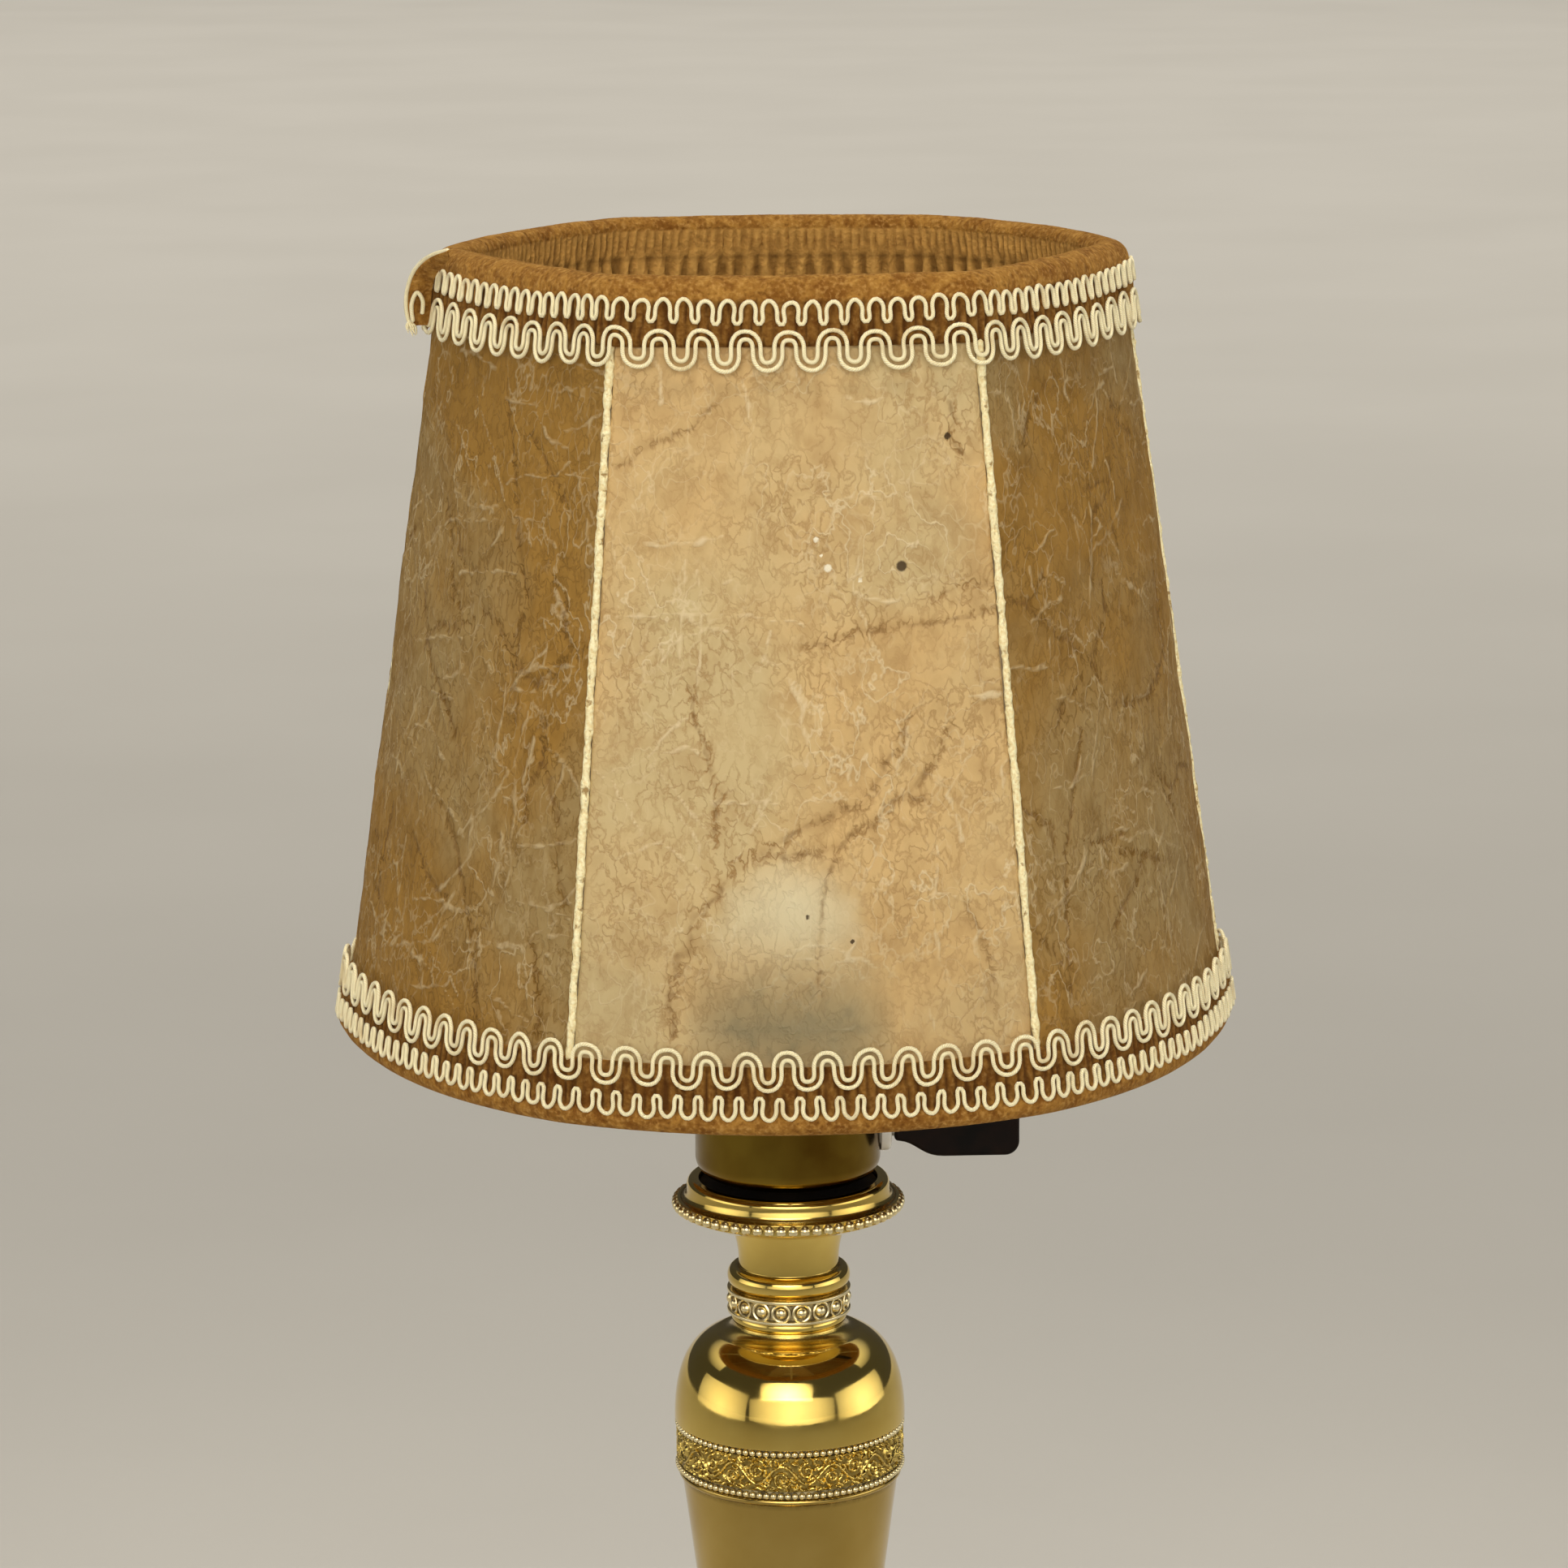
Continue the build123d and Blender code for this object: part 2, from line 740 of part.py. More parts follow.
# Notched ring nut over the shade carrier
with BuildPart() as shade_nut:
    with BuildSketch(Plane.XY.offset(shade_nut_z)):
        Circle(shell_r + shade_nut_w)
        Circle(shell_r + resting_gap, mode=Mode.SUBTRACT)
        with PolarLocations(shell_r + shade_nut_w, shade_nut_notches):
            Circle(shade_nut_notch_r, mode=Mode.SUBTRACT)
    extrude(amount=shade_nut_h)

# Sprung centre contact
contact_head_z = insert_top_z + contact_rise
with BuildPart() as centre_contact:
    with BuildSketch(Plane.XY.offset(insert_top_z - contact_tail)):
        Circle(contact_r)
    extrude(amount=contact_tail + contact_rise)
    with BuildSketch(Plane.XY.offset(contact_head_z)):
        Circle(contact_head_r)
    extrude(amount=contact_head_t)

# Bulb: contact, insulator, screw cap, glass, glass mount and filament
bulb_z = contact_head_z + contact_head_t + resting_gap
insulator_z = bulb_z + bulb_contact_t
bulb_cap_z = insulator_z + bulb_insulator_h
bulb_cap_top_z = bulb_cap_z + bulb_cap_h
bulb_cap_inner_r = thread_r - bulb_cap_wall
glass_z = bulb_cap_top_z - glass_seat
globe_z = bulb_z + bulb_len - glass_r
with BuildPart() as bulb_contact:
    with BuildSketch(Plane.XY.offset(bulb_z)):
        Circle(bulb_contact_r)
    extrude(amount=bulb_contact_t)

with BuildPart() as bulb_insulator:
    with BuildSketch(Plane.XZ):
        with BuildLine():
            Polyline(
                (0, insulator_z),
                (bulb_contact_r, insulator_z),
                (bulb_insulator_r, bulb_cap_z),
                (0, bulb_cap_z),
                close=True,
            )
        make_face()
    revolve(axis=Axis.Z)

with BuildPart() as bulb_cap:
    cone_top_z = bulb_cap_z + bulb_cap_cone_h
    with BuildSketch(Plane.XZ):
        with BuildLine():
            Polyline(
                (0, bulb_cap_z),
                (bulb_insulator_r, bulb_cap_z),
                (thread_r, cone_top_z),
                (thread_r, bulb_cap_top_z),
                (bulb_cap_inner_r, bulb_cap_top_z),
                (bulb_cap_inner_r, cone_top_z + bulb_cap_wall),
                (0, cone_top_z + bulb_cap_wall),
                close=True,
            )
        make_face()
    revolve(axis=Axis.Z)

with BuildPart() as bulb_glass:
    throat_drop = math.sqrt(glass_r**2 - glass_throat_r**2)
    bore_r = glass_r - glass_wall
    throat_bore_r = glass_throat_r - glass_wall
    throat_bore_drop = math.sqrt(bore_r**2 - throat_bore_r**2)
    with BuildSketch(Plane.XZ):
        with BuildLine():
            Polyline(
                (bulb_cap_inner_r - glass_wall, glass_z),
                (bulb_cap_inner_r, glass_z),
                (bulb_cap_inner_r, glass_z + glass_neck_h),
                (glass_throat_r, globe_z - throat_drop),
            )
            ThreePointArc(
                (glass_throat_r, globe_z - throat_drop), (glass_r, globe_z), (0, globe_z + glass_r)
            )
            Line((0, globe_z + glass_r), (0, globe_z + bore_r))
            ThreePointArc(
                (0, globe_z + bore_r), (bore_r, globe_z), (throat_bore_r, globe_z - throat_bore_drop)
            )
            Polyline(
                (throat_bore_r, globe_z - throat_bore_drop),
                (bulb_cap_inner_r - glass_wall, glass_z + glass_neck_h),
                (bulb_cap_inner_r - glass_wall, glass_z),
            )
        make_face()
    revolve(axis=Axis.Z)

with BuildPart() as bulb_stem:
    with BuildSketch(Plane.XZ):
        with BuildLine():
            Polyline(
                (0, glass_z),
                (bulb_cap_inner_r - glass_wall, glass_z),
                (bulb_cap_inner_r - glass_wall, glass_z + mount_flange_h),
                (mount_tip_r, glass_z + mount_h),
                (0, glass_z + mount_h),
                close=True,
            )
        make_face()
    revolve(axis=Axis.Z)

with BuildPart() as bulb_filament:
    for side in (-1, 1):
        root = Vector(side * lead_root, 0, glass_z + mount_h)
        tip = Vector(side * filament_half, 0, globe_z)
        with BuildSketch(Plane(root)):
            Circle(lead_r)
        with BuildSketch(Plane(tip)):
            Circle(lead_r)
        loft(ruled=True)
    filament_end = filament_half + filament_r
    with BuildSketch(Plane((-filament_end, 0, globe_z), x_dir=(0, 1, 0), z_dir=(1, 0, 0))):
        Circle(filament_r)
    extrude(amount=2 * filament_end)


# The shade is a hexagon with bowed sides, narrower at the top
def shade_radius(z):
    return shade_bottom_r + (shade_top_r - shade_bottom_r) * (z - shade_z) / shade_h


def shade_bow(z):
    return bottom_bow + (top_bow - bottom_bow) * (z - shade_z) / shade_h


def shade_corner(z, out, angle):
    """Corner of the shade at a height and an angle, moved outwards by a distance."""
    lean = math.radians(30) - 2 * math.atan(2 * shade_bow(z) / shade_radius(z))
    radius = shade_radius(z) + out / math.cos(lean)
    return (radius * math.cos(math.radians(angle)), radius * math.sin(math.radians(angle)))


def shade_middle(z, out, angle):
    """Middle of a side of the shade at a height, moved outwards by a distance."""
    radius = shade_radius(z) * math.cos(math.radians(30)) + shade_bow(z) + out
    return (radius * math.cos(math.radians(angle)), radius * math.sin(math.radians(angle)))


def shade_section(z, out):
    """Bowed hexagon of the shade at a height, moved outwards by a distance."""
    with BuildSketch(Plane.XY.offset(z)) as section_face:
        with BuildLine():
            for side in range(6):
                ThreePointArc(
                    shade_corner(z, out, 60 * side),
                    shade_middle(z, out, 60 * side + 30),
                    shade_corner(z, out, 60 * side + 60),
                )
        make_face()
    return section_face.sketch


def shade_core(low_z, high_z, out):
    """Solid of the shade's form between two heights."""
    with BuildPart() as core:
        loft([shade_section(low_z, out), shade_section(high_z, out)], ruled=True)
    return core.part


wire_out = -(lace_r + loose_gap + wire_r)
inside_out = wire_out - wire_r - 2 * loose_gap
bottom_wire_z = shade_z + binding_t + resting_gap + wire_r
top_wire_z = shade_top_z - binding_t - resting_gap - wire_r


def wire_ring(z):
    """Wire bent to the shade's form at a height, with rounded corners."""
    with BuildSketch(Plane.XY.offset(z)) as bend:
        add(shade_section(z, wire_out).face().moved(Location((0, 0, -z))))
        fillet(bend.vertices(), wire_corner_r)
    path = bend.sketch.face().outer_wire()
    with BuildPart() as ring:
        with BuildSketch(Plane(path @ 0, z_dir=path % 0)):
            Circle(wire_r)
        sweep(path=path)
    return ring


bottom_wire_ring = wire_ring(bottom_wire_z)
top_wire_ring = wire_ring(top_wire_z)

# Six straight ribs between the rings
with BuildPart() as frame_ribs:
    for corner in range(6):
        rib_low = Vector(*shade_corner(bottom_wire_z, wire_out, 60 * corner), bottom_wire_z)
        rib_high = Vector(*shade_corner(top_wire_z, wire_out, 60 * corner), top_wire_z)
        with BuildSketch(Plane(rib_low, z_dir=rib_high - rib_low)):
            Circle(rib_r)
        extrude(amount=(rib_high - rib_low).length)
    add(bottom_wire_ring.part, mode=Mode.SUBTRACT)
    add(top_wire_ring.part, mode=Mode.SUBTRACT)

# Carrier ring on the lampholder, with three arms to the bottom wire
with BuildPart() as carrier_ring:
    with BuildSketch(Plane.XY.offset(carrier_z)):
        Circle(carrier_r)
        Circle(carrier_inner_r, mode=Mode.SUBTRACT)
    extrude(amount=carrier_t)

with BuildPart() as carrier_arms:
    for arm_angle in (30, 150, 270):
        outward = Vector(math.cos(math.radians(arm_angle)), math.sin(math.radians(arm_angle)), 0)
        arm_root = outward * (carrier_r - arm_r) + Vector(0, 0, carrier_z + carrier_t / 2)
        arm_tip = Vector(*shade_middle(bottom_wire_z, wire_out, arm_angle), bottom_wire_z)
        with BuildSketch(Plane(arm_root, z_dir=arm_tip - arm_root)):
            Circle(arm_r)
        extrude(amount=(arm_tip - arm_root).length)
    add(bottom_wire_ring.part, mode=Mode.SUBTRACT)
    with BuildSketch(Plane.XY.offset(carrier_z - arm_r)):
        Circle(carrier_r)
    extrude(amount=carrier_t + 2 * arm_r, mode=Mode.SUBTRACT)

# Six parchment panels, with a seam gap at each corner
panel_low_z = shade_z + binding_t + resting_gap
panel_high_z = shade_top_z - binding_t - resting_gap


def panel_section(z, angle):
    """Thin curved strip of one panel at a height."""
    rise = 2 * math.atan(2 * shade_bow(z) / shade_radius(z))
    outward = Vector(math.cos(math.radians(angle)), math.sin(math.radians(angle)))
    lift = outward * (math.sin(rise) * seam_gap / 2)
    ends = []
    for out in (0, -panel_t):
        first = Vector(*shade_corner(z, out, angle - 30))
        last = Vector(*shade_corner(z, out, angle + 30))
        along = (last - first).normalized() * (math.cos(rise) * seam_gap / 2)
        ends.append((first + along + lift, Vector(*shade_middle(z, out, angle)), last - along + lift))
    outer, inner = ends
    with BuildSketch(Plane.XY.offset(z)) as strip:
        with BuildLine():
            ThreePointArc(*outer)
            Line(outer[2], inner[2])
            ThreePointArc(*inner)
            Line(inner[0], outer[0])
        make_face()
    return strip.sketch


panel_angles = {
    "panel_front": 270,
    "panel_front_right": 330,
    "panel_back_right": 30,
    "panel_back": 90,
    "panel_back_left": 150,
    "panel_front_left": 210,
}
panels = {}
for panel_name, panel_angle in panel_angles.items():
    with BuildPart() as panel:
        low_strip = panel_section(panel_low_z, panel_angle)
        high_strip = panel_section(panel_high_z, panel_angle)
        loft([low_strip, high_strip], ruled=True)
    panels[panel_name] = panel

# Cream laces in the seams
lace_low_z = panel_low_z + lace_r
lace_high_z = panel_high_z - lace_r
with BuildPart() as seam_laces:
    for corner in range(6):
        lace_low = Vector(*shade_corner(lace_low_z, 0, 60 * corner), lace_low_z)
        lace_high = Vector(*shade_corner(lace_high_z, 0, 60 * corner), lace_high_z)
        with BuildSketch(Plane(lace_low, z_dir=lace_high - lace_low)):
            Circle(lace_r)
        extrude(amount=(lace_high - lace_low).length)


# Binding folded over a rim: outer skirt, web and inner skirt
def rim_binding(rim_z, into):
    """Channel of binding over the rim at a height, reaching into the shade by the sign of into."""
    skirt_z = rim_z + into * binding_h
    web_z = rim_z + into * binding_t
    reach_z = skirt_z + into * binding_t
    with BuildPart() as binding:
        add(shade_core(rim_z, skirt_z, lace_r + resting_gap + binding_t))
        add(shade_core(rim_z - into * binding_t, reach_z, inside_out - binding_t), mode=Mode.SUBTRACT)
        channel = shade_core(web_z, reach_z, lace_r + resting_gap) - shade_core(web_z, reach_z, inside_out)
        add(channel, mode=Mode.SUBTRACT)
    return binding


bottom_binding = rim_binding(shade_z, 1)
top_binding = rim_binding(shade_top_z, -1)
with bottom_binding:
    add(carrier_arms.part, mode=Mode.SUBTRACT)


# Gimp braid sewn round the outside of the binding
def rim_braid(low_z):
    """Plain band in the place of the braid."""
    inner_out = lace_r + 2 * resting_gap + binding_t
    with BuildPart() as braid:
        add(shade_core(low_z, low_z + braid_h, inner_out + braid_t))
        add(shade_core(low_z - braid_t, low_z + braid_h + braid_t, inner_out), mode=Mode.SUBTRACT)
    return braid


bottom_braid = rim_braid(shade_z + braid_edge)
top_braid = rim_braid(shade_top_z - braid_edge - braid_h)

pieces = {
    "felt_pad": felt_pad,
    "base_weight": base_weight,
    "foot": foot,
    "foot_bead_ring": foot_bead_ring,
    "cord_bush": cord_bush,
    "base_washer": base_washer,
    "base_nut": base_nut,
    "stem_tube": stem_tube,
    "foot_knop": foot_knop,
    "column": column,
    "lower_bead_line": lower_bead_line,
    "frieze_band": frieze_band,
    "upper_bead_line": upper_bead_line,
    "shoulder": shoulder,
    "neck_ring": neck_ring,
    "studded_collar": studded_collar,
    "nozzle": nozzle,
    "drip_pan": drip_pan,
    "pan_bead_ring": pan_bead_ring,
    "insulating_disc": insulating_disc,
    "holder_cap": holder_cap,
    "cap_grub_screw": cap_grub_screw,
    "switch_bush": switch_bush,
    "switch_contacts": switch_contacts,
    "holder_insert": holder_insert,
    "thread_sleeve": thread_sleeve,
    "terminal_screws": terminal_screws,
    "holder_shell": holder_shell,
    "shade_nut": shade_nut,
    "switch_spindle": switch_spindle,
    "switch_drum": switch_drum,
    "switch_key": switch_key,
    "centre_contact": centre_contact,
    "bulb_contact": bulb_contact,
    "bulb_insulator": bulb_insulator,
    "bulb_cap": bulb_cap,
    "bulb_glass": bulb_glass,
    "bulb_stem": bulb_stem,
    "bulb_filament": bulb_filament,
    "carrier_ring": carrier_ring,
    "carrier_arms": carrier_arms,
    "bottom_wire_ring": bottom_wire_ring,
    "top_wire_ring": top_wire_ring,
    "frame_ribs": frame_ribs,
    **panels,
    "seam_laces": seam_laces,
    "bottom_binding": bottom_binding,
    "top_binding": top_binding,
    "bottom_braid": bottom_braid,
    "top_braid": top_braid,
}
for name, piece in pieces.items():
    piece.part.label = name
    export_step(piece.part, f"parts/{name}.step")
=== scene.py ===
import math
import random

import bmesh
import bpy
from mathutils import Matrix, Vector, noise
from mathutils.geometry import interpolate_bezier


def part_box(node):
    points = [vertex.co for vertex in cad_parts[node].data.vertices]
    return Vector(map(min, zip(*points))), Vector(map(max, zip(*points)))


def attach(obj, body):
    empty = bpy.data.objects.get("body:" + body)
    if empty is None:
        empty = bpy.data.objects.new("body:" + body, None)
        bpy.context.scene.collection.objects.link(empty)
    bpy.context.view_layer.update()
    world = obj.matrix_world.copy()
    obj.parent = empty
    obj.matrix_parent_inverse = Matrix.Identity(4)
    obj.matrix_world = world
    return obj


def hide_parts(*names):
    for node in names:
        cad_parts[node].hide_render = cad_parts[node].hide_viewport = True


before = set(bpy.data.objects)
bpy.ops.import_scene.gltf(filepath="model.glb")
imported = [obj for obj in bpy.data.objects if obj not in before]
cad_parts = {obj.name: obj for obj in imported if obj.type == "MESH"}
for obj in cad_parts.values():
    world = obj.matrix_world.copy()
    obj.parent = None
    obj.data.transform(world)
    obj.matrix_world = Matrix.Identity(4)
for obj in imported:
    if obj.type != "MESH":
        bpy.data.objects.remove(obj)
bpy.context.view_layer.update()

# Pieces are worked in millimetres about the lamp's axis and brought to metres when they are done
mm = 0.001
full_turn = 2 * math.pi
turning_steps = 144


def heights(node):
    """Lowest and highest level of a CAD node."""
    low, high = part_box(node)
    return low.z / mm, high.z / mm


def reach(node):
    """Outer radius of a turned CAD node."""
    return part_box(node)[1].x / mm


def unit(value):
    """Value held between 0 and 1."""
    return min(1.0, max(0.0, value))


# Turned brass
bore_r = 5.1
edge_round = 0.22
column_lip_h = 1.6
column_lip_w = 0.8
column_wall = 2.0
column_plug_h = 5.0
column_foot_r = 12.4
column_stations = (0.02, 0.5, 0.985, 1.0)
shoulder_belly = 13.0
shoulder_roll = 9.6
shoulder_fall = 4.2
shoulder_wall = 3.6
shoulder_crown_t = 4.0
flare_w = 4.2
flare_h = 2.5
neck_r = 12.3
knop_neck_r = 12.0
knop_band_h = 1.5
collar_r = 13.3
collar_fillet_w = 0.6
collar_fillet_h = 0.8
collar_sink = 0.5
stud_count = 18
stud_r = 1.95
stud_ball = 0.72
stud_sink = 0.55
setting_wire_r = 0.30
nozzle_foot_h = 0.4
nozzle_ring_h = 4.4
nozzle_waist_r = 11.2
nozzle_waist_rise = 3.0
nozzle_top_r = 13.4
pan_mouth_r = 20.0
pan_moulding_r = 22.7
pan_lip_round = 1.4
pan_lip_drop = 0.8
pan_cove_h = 2.6
cap_neck_r = 8.0
cap_neck_h = 2.0
cap_corner = 4.4
cap_wall = 1.0

# Pearls
line_pearls = 100
pan_pearls = 60
foot_pearls = 104
backing_shade = 0.9

# Chased band: a stretch of scrolls repeated round the column
scroll_count = 7
scroll_relief = 0.55
stem_steps = 48
stem_swing = 0.27
stem_w = 0.34
curl_w = 0.33
curl_r = 1.9
curl_eye_r = 0.35
curl_turns = 1.3
curl_aside = 0.12
leaf_tries = 1200
leaf_apart = 0.64

# Shade: a hexagon with bowed sides
shade_low = heights("bottom_binding")[0]
shade_high = heights("top_binding")[1]
shade_h = shade_high - shade_low
shade_bottom_r = 98.3
shade_top_r = 73.1
bottom_bow = 9.0
top_bow = 3.2
rim_sag = 1.0
back_slack = {"panel_back_right": 3.8, "panel_back": 0.8, "panel_back_left": 1.8}
wire_out = -2.35
panel_t = 0.6
seam_gap = 1.7
lace_r = 0.85
soft_corner = 0.006
binding_outer = 1.85
binding_inner = -4.9
binding_t = 1.0
binding_h = 17.5
braid_overhang = 4.0
binding_edge_out = 0.45

# Gimp braid
bottom_pitch = 8.36
top_pitch = 8.68
bottom_lobe_at = 4.5
top_lobe_at = 2.9
braid_face = 1.95
gimp_r = 0.45
wave_swing = 1.57
wave_hold = 1.2
ripple_swing = 1.66
ripple_hold = 0.7
ripple_pinch = 0.4
wave_gap = 1.6
wave_steps = 24
ripple_steps = 18
cord_sides = 8
wave_drift = 0.35
wave_lean = 0.16
wave_growth = 0.14


# Shader nodes
def add_node(tree, kind, inputs=None, **settings):
    """Add a shader node, with its inputs linked or filled."""
    node = tree.nodes.new("ShaderNode" + kind)
    for setting, value in settings.items():
        setattr(node, setting, value)
    for socket, value in (inputs or {}).items():
        if isinstance(value, bpy.types.NodeSocket):
            tree.links.new(value, node.inputs[socket])
        else:
            node.inputs[socket].default_value = value
    return node


def blank_finish(name, even):
    """New material with the values that are the same all over set on its shader."""
    finish = bpy.data.materials.new(name)
    finish.use_nodes = True
    shader = finish.node_tree.nodes["Principled BSDF"]
    for socket, value in even.items():
        shader.inputs[socket].default_value = value
    return finish, finish.node_tree, shader


def place_on_piece(tree):
    return add_node(tree, "TexCoord").outputs["Object"]


def place_on_map(tree):
    return add_node(tree, "UVMap", uv_map="UVMap").outputs["UV"]


def painted(tree, name):
    """Amount painted on the mesh under a name."""
    return add_node(tree, "Attribute", attribute_name=name).outputs["Fac"]


def mottle(place, scale, detail=4.0, distortion=0.0):
    """Cloudy pattern over a place."""
    inputs = {"Vector": place, "Scale": scale, "Detail": detail, "Distortion": distortion}
    return add_node(place.id_data, "TexNoise", inputs).outputs["Fac"]


def spread(value, low, high, to_low=0.0, to_high=1.0):
    """Stretch a range of a pattern to another range."""
    inputs = {"Value": value, "From Min": low, "From Max": high, "To Min": to_low, "To Max": to_high}
    return add_node(value.id_data, "MapRange", inputs, clamp=True).outputs["Result"]


def reckon(operation, first, second):
    return add_node(first.id_data, "Math", {0: first, 1: second}, operation=operation).outputs["Value"]


def tint(amount, under, over):
    """Lay one colour over another by an amount."""
    inputs = {0: amount, 6: under, 7: over}
    return add_node(amount.id_data, "Mix", inputs, data_type="RGBA").outputs[2]


def feed(shader, socket, value):
    """Link a pattern to one of the shader's sockets."""
    shader.id_data.links.new(value, shader.inputs[socket])


def roughened(shader, height, strength, depth):
    """Raise the surface by a pattern."""
    inputs = {"Height": height, "Strength": strength, "Distance": depth}
    feed(shader, "Normal", add_node(shader.id_data, "Bump", inputs).outputs["Normal"])


def wandered(place, scale, far):
    """Place moved about by a noise, so that straight patterns run crooked."""
    tree = place.id_data
    drift = add_node(tree, "TexNoise", {"Vector": place, "Scale": scale, "Detail": 3.0}).outputs["Color"]
    centred = add_node(tree, "VectorMath", {0: drift, 1: (0.5, 0.5, 0.5)}, operation="SUBTRACT").outputs[0]
    moved = add_node(tree, "VectorMath", {0: centred, "Scale": far}, operation="SCALE").outputs[0]
    return add_node(tree, "VectorMath", {0: place, 1: moved}, operation="ADD").outputs[0]


def wrinkles(place, scale, detail, width):
    """Thin crooked lines, 1 on a line and 0 beside it, where a noise passes its middle."""
    field = reckon("SUBTRACT", mottle(place, scale, detail), 0.5)
    away = reckon("ABSOLUTE", field, 0.0)
    return spread(away, 0.0, width, 1.0, 0.0)


# Stains and marks on the finishes, with the painted shade, glow and shadow among them
grime_and_shade_brown = (0.060, 0.033, 0.006, 1)
painted_glow_cream = (0.70, 0.63, 0.42, 1)
painted_shadow_brown = (0.215, 0.180, 0.100, 1)
vein_brown = (0.16, 0.075, 0.020, 1)
fleck_cream = (0.90, 0.84, 0.66, 1)
spot_black = (0.045, 0.024, 0.010, 1)


# Finishes
def old_brass(name, bright, deep, gloss):
    """Brass that darkens where grime and shade are painted, with faint smears in its polish."""
    finish, tree, shader = blank_finish(name, {"Metallic": 1.0})
    place = place_on_piece(tree)
    colour = tint(spread(mottle(place, 55.0), 0.35, 0.65), bright, deep)
    specks = spread(mottle(place, 900.0, 5.0), 0.25, 0.6, 0.4, 1.0)
    # Grime and painted shade in the hollows darken the brass and dull its polish
    grime_and_shade = reckon("MULTIPLY", painted(tree, "grime_and_shade"), specks)
    colour = tint(grime_and_shade, colour, grime_and_shade_brown)
    feed(shader, "Base Color", colour)
    smears = spread(mottle(wandered(place, 90.0, 0.01), 120.0, 6.0), 0.3, 0.75, *gloss)
    rough = reckon("ADD", smears, reckon("MULTIPLY", grime_and_shade, 0.45))
    feed(shader, "Roughness", rough)
    roughened(shader, mottle(place, 130.0, 3.0), 0.04, 0.0006)
    return finish


def aged_parchment(name, cool, warm, deep, crest, creased):
    """Cloudy tan skin, crackled, with pale creases, dark veins, a painted glow where the holder shows
    through, and painted shadow below it.
    """
    finish, tree, shader = blank_finish(name, {"Specular IOR Level": 0.12})
    place = place_on_piece(tree)
    drawn_up = add_node(tree, "Mapping", {"Vector": place, "Scale": (1.0, 1.0, 0.72)}).outputs[0]
    crooked = wandered(drawn_up, 75.0, 0.012)
    grain = mottle(crooked, 230.0, 8.0)
    colour = tint(spread(mottle(place, 15.0, 5.0, 0.5), 0.41, 0.59), cool, warm)
    colour = tint(spread(grain, 0.44, 0.72, 0.0, 0.42), colour, deep)
    stains = spread(mottle(place, 46.0, 7.0, 0.9), 0.52, 0.70, 0.0, 0.36)
    colour = tint(stains, colour, deep)
    vein = painted(tree, "vein")
    cracked = spread(mottle(place, 62.0), 0.36, 0.60, 0.18, 0.60)
    cracked = reckon("ADD", cracked, spread(vein, 0.02, 0.5, 0.0, 0.6))
    crackle = wrinkles(wandered(drawn_up, 260.0, 0.004), 400.0, 3.0, 0.062)
    crackle = reckon("MULTIPLY", crackle, cracked)
    colour = tint(crackle, colour, deep)
    patches = spread(mottle(place, 30.0, 3.0), 0.46, 0.60)
    broad = wrinkles(wandered(drawn_up, 75.0, 0.004), 105.0, 4.0, 0.016)
    broad = reckon("MULTIPLY", broad, patches)
    hairs = wrinkles(wandered(drawn_up, 110.0, 0.003), 230.0, 1.5, 0.022)
    hairs = reckon("MULTIPLY", hairs, spread(mottle(place, 52.0), 0.40, 0.60, 0.0, creased))
    ragged = reckon("ADD", painted(tree, "crease"), spread(grain, 0.2, 0.8, -0.35, 0.35))
    folds = spread(ragged, 0.55, 0.95)
    lines = reckon("MAXIMUM", reckon("MAXIMUM", broad, hairs), folds)
    colour = tint(reckon("MULTIPLY", lines, 0.62), colour, crest)
    # Painted glow where the holder shows through the skin, and painted shadow below it
    colour = tint(painted(tree, "bloom"), colour, painted_glow_cream)
    colour = tint(painted(tree, "dusk"), colour, painted_shadow_brown)
    torn = spread(mottle(place, 480.0, 4.0), 0.25, 0.75, -0.50, 0.30)
    veins = spread(reckon("ADD", vein, torn), 0.45, 0.95, 0.0, 0.55)
    veins = reckon("MULTIPLY", veins, spread(mottle(place, 170.0, 3.0), 0.40, 0.56, 0.12, 1.0))
    colour = tint(spread(vein, 0.05, 0.8, 0.0, 0.20), colour, deep)
    colour = tint(veins, colour, vein_brown)
    speck = painted(tree, "speck")
    colour = tint(spread(speck, 0.40, 0.60, 0.0, 0.85), colour, fleck_cream)
    colour = tint(spread(speck, -0.60, -0.45, 0.92, 0.0), colour, spot_black)
    feed(shader, "Base Color", colour)
    feed(shader, "Roughness", spread(grain, 0.3, 0.7, 0.5, 0.7))
    height = reckon("ADD", reckon("MULTIPLY", lines, 0.6), reckon("MULTIPLY", grain, 0.7))
    height = reckon("SUBTRACT", height, reckon("MULTIPLY", reckon("MAXIMUM", veins, crackle), 0.8))
    roughened(shader, height, 0.45, 0.0006)
    return finish


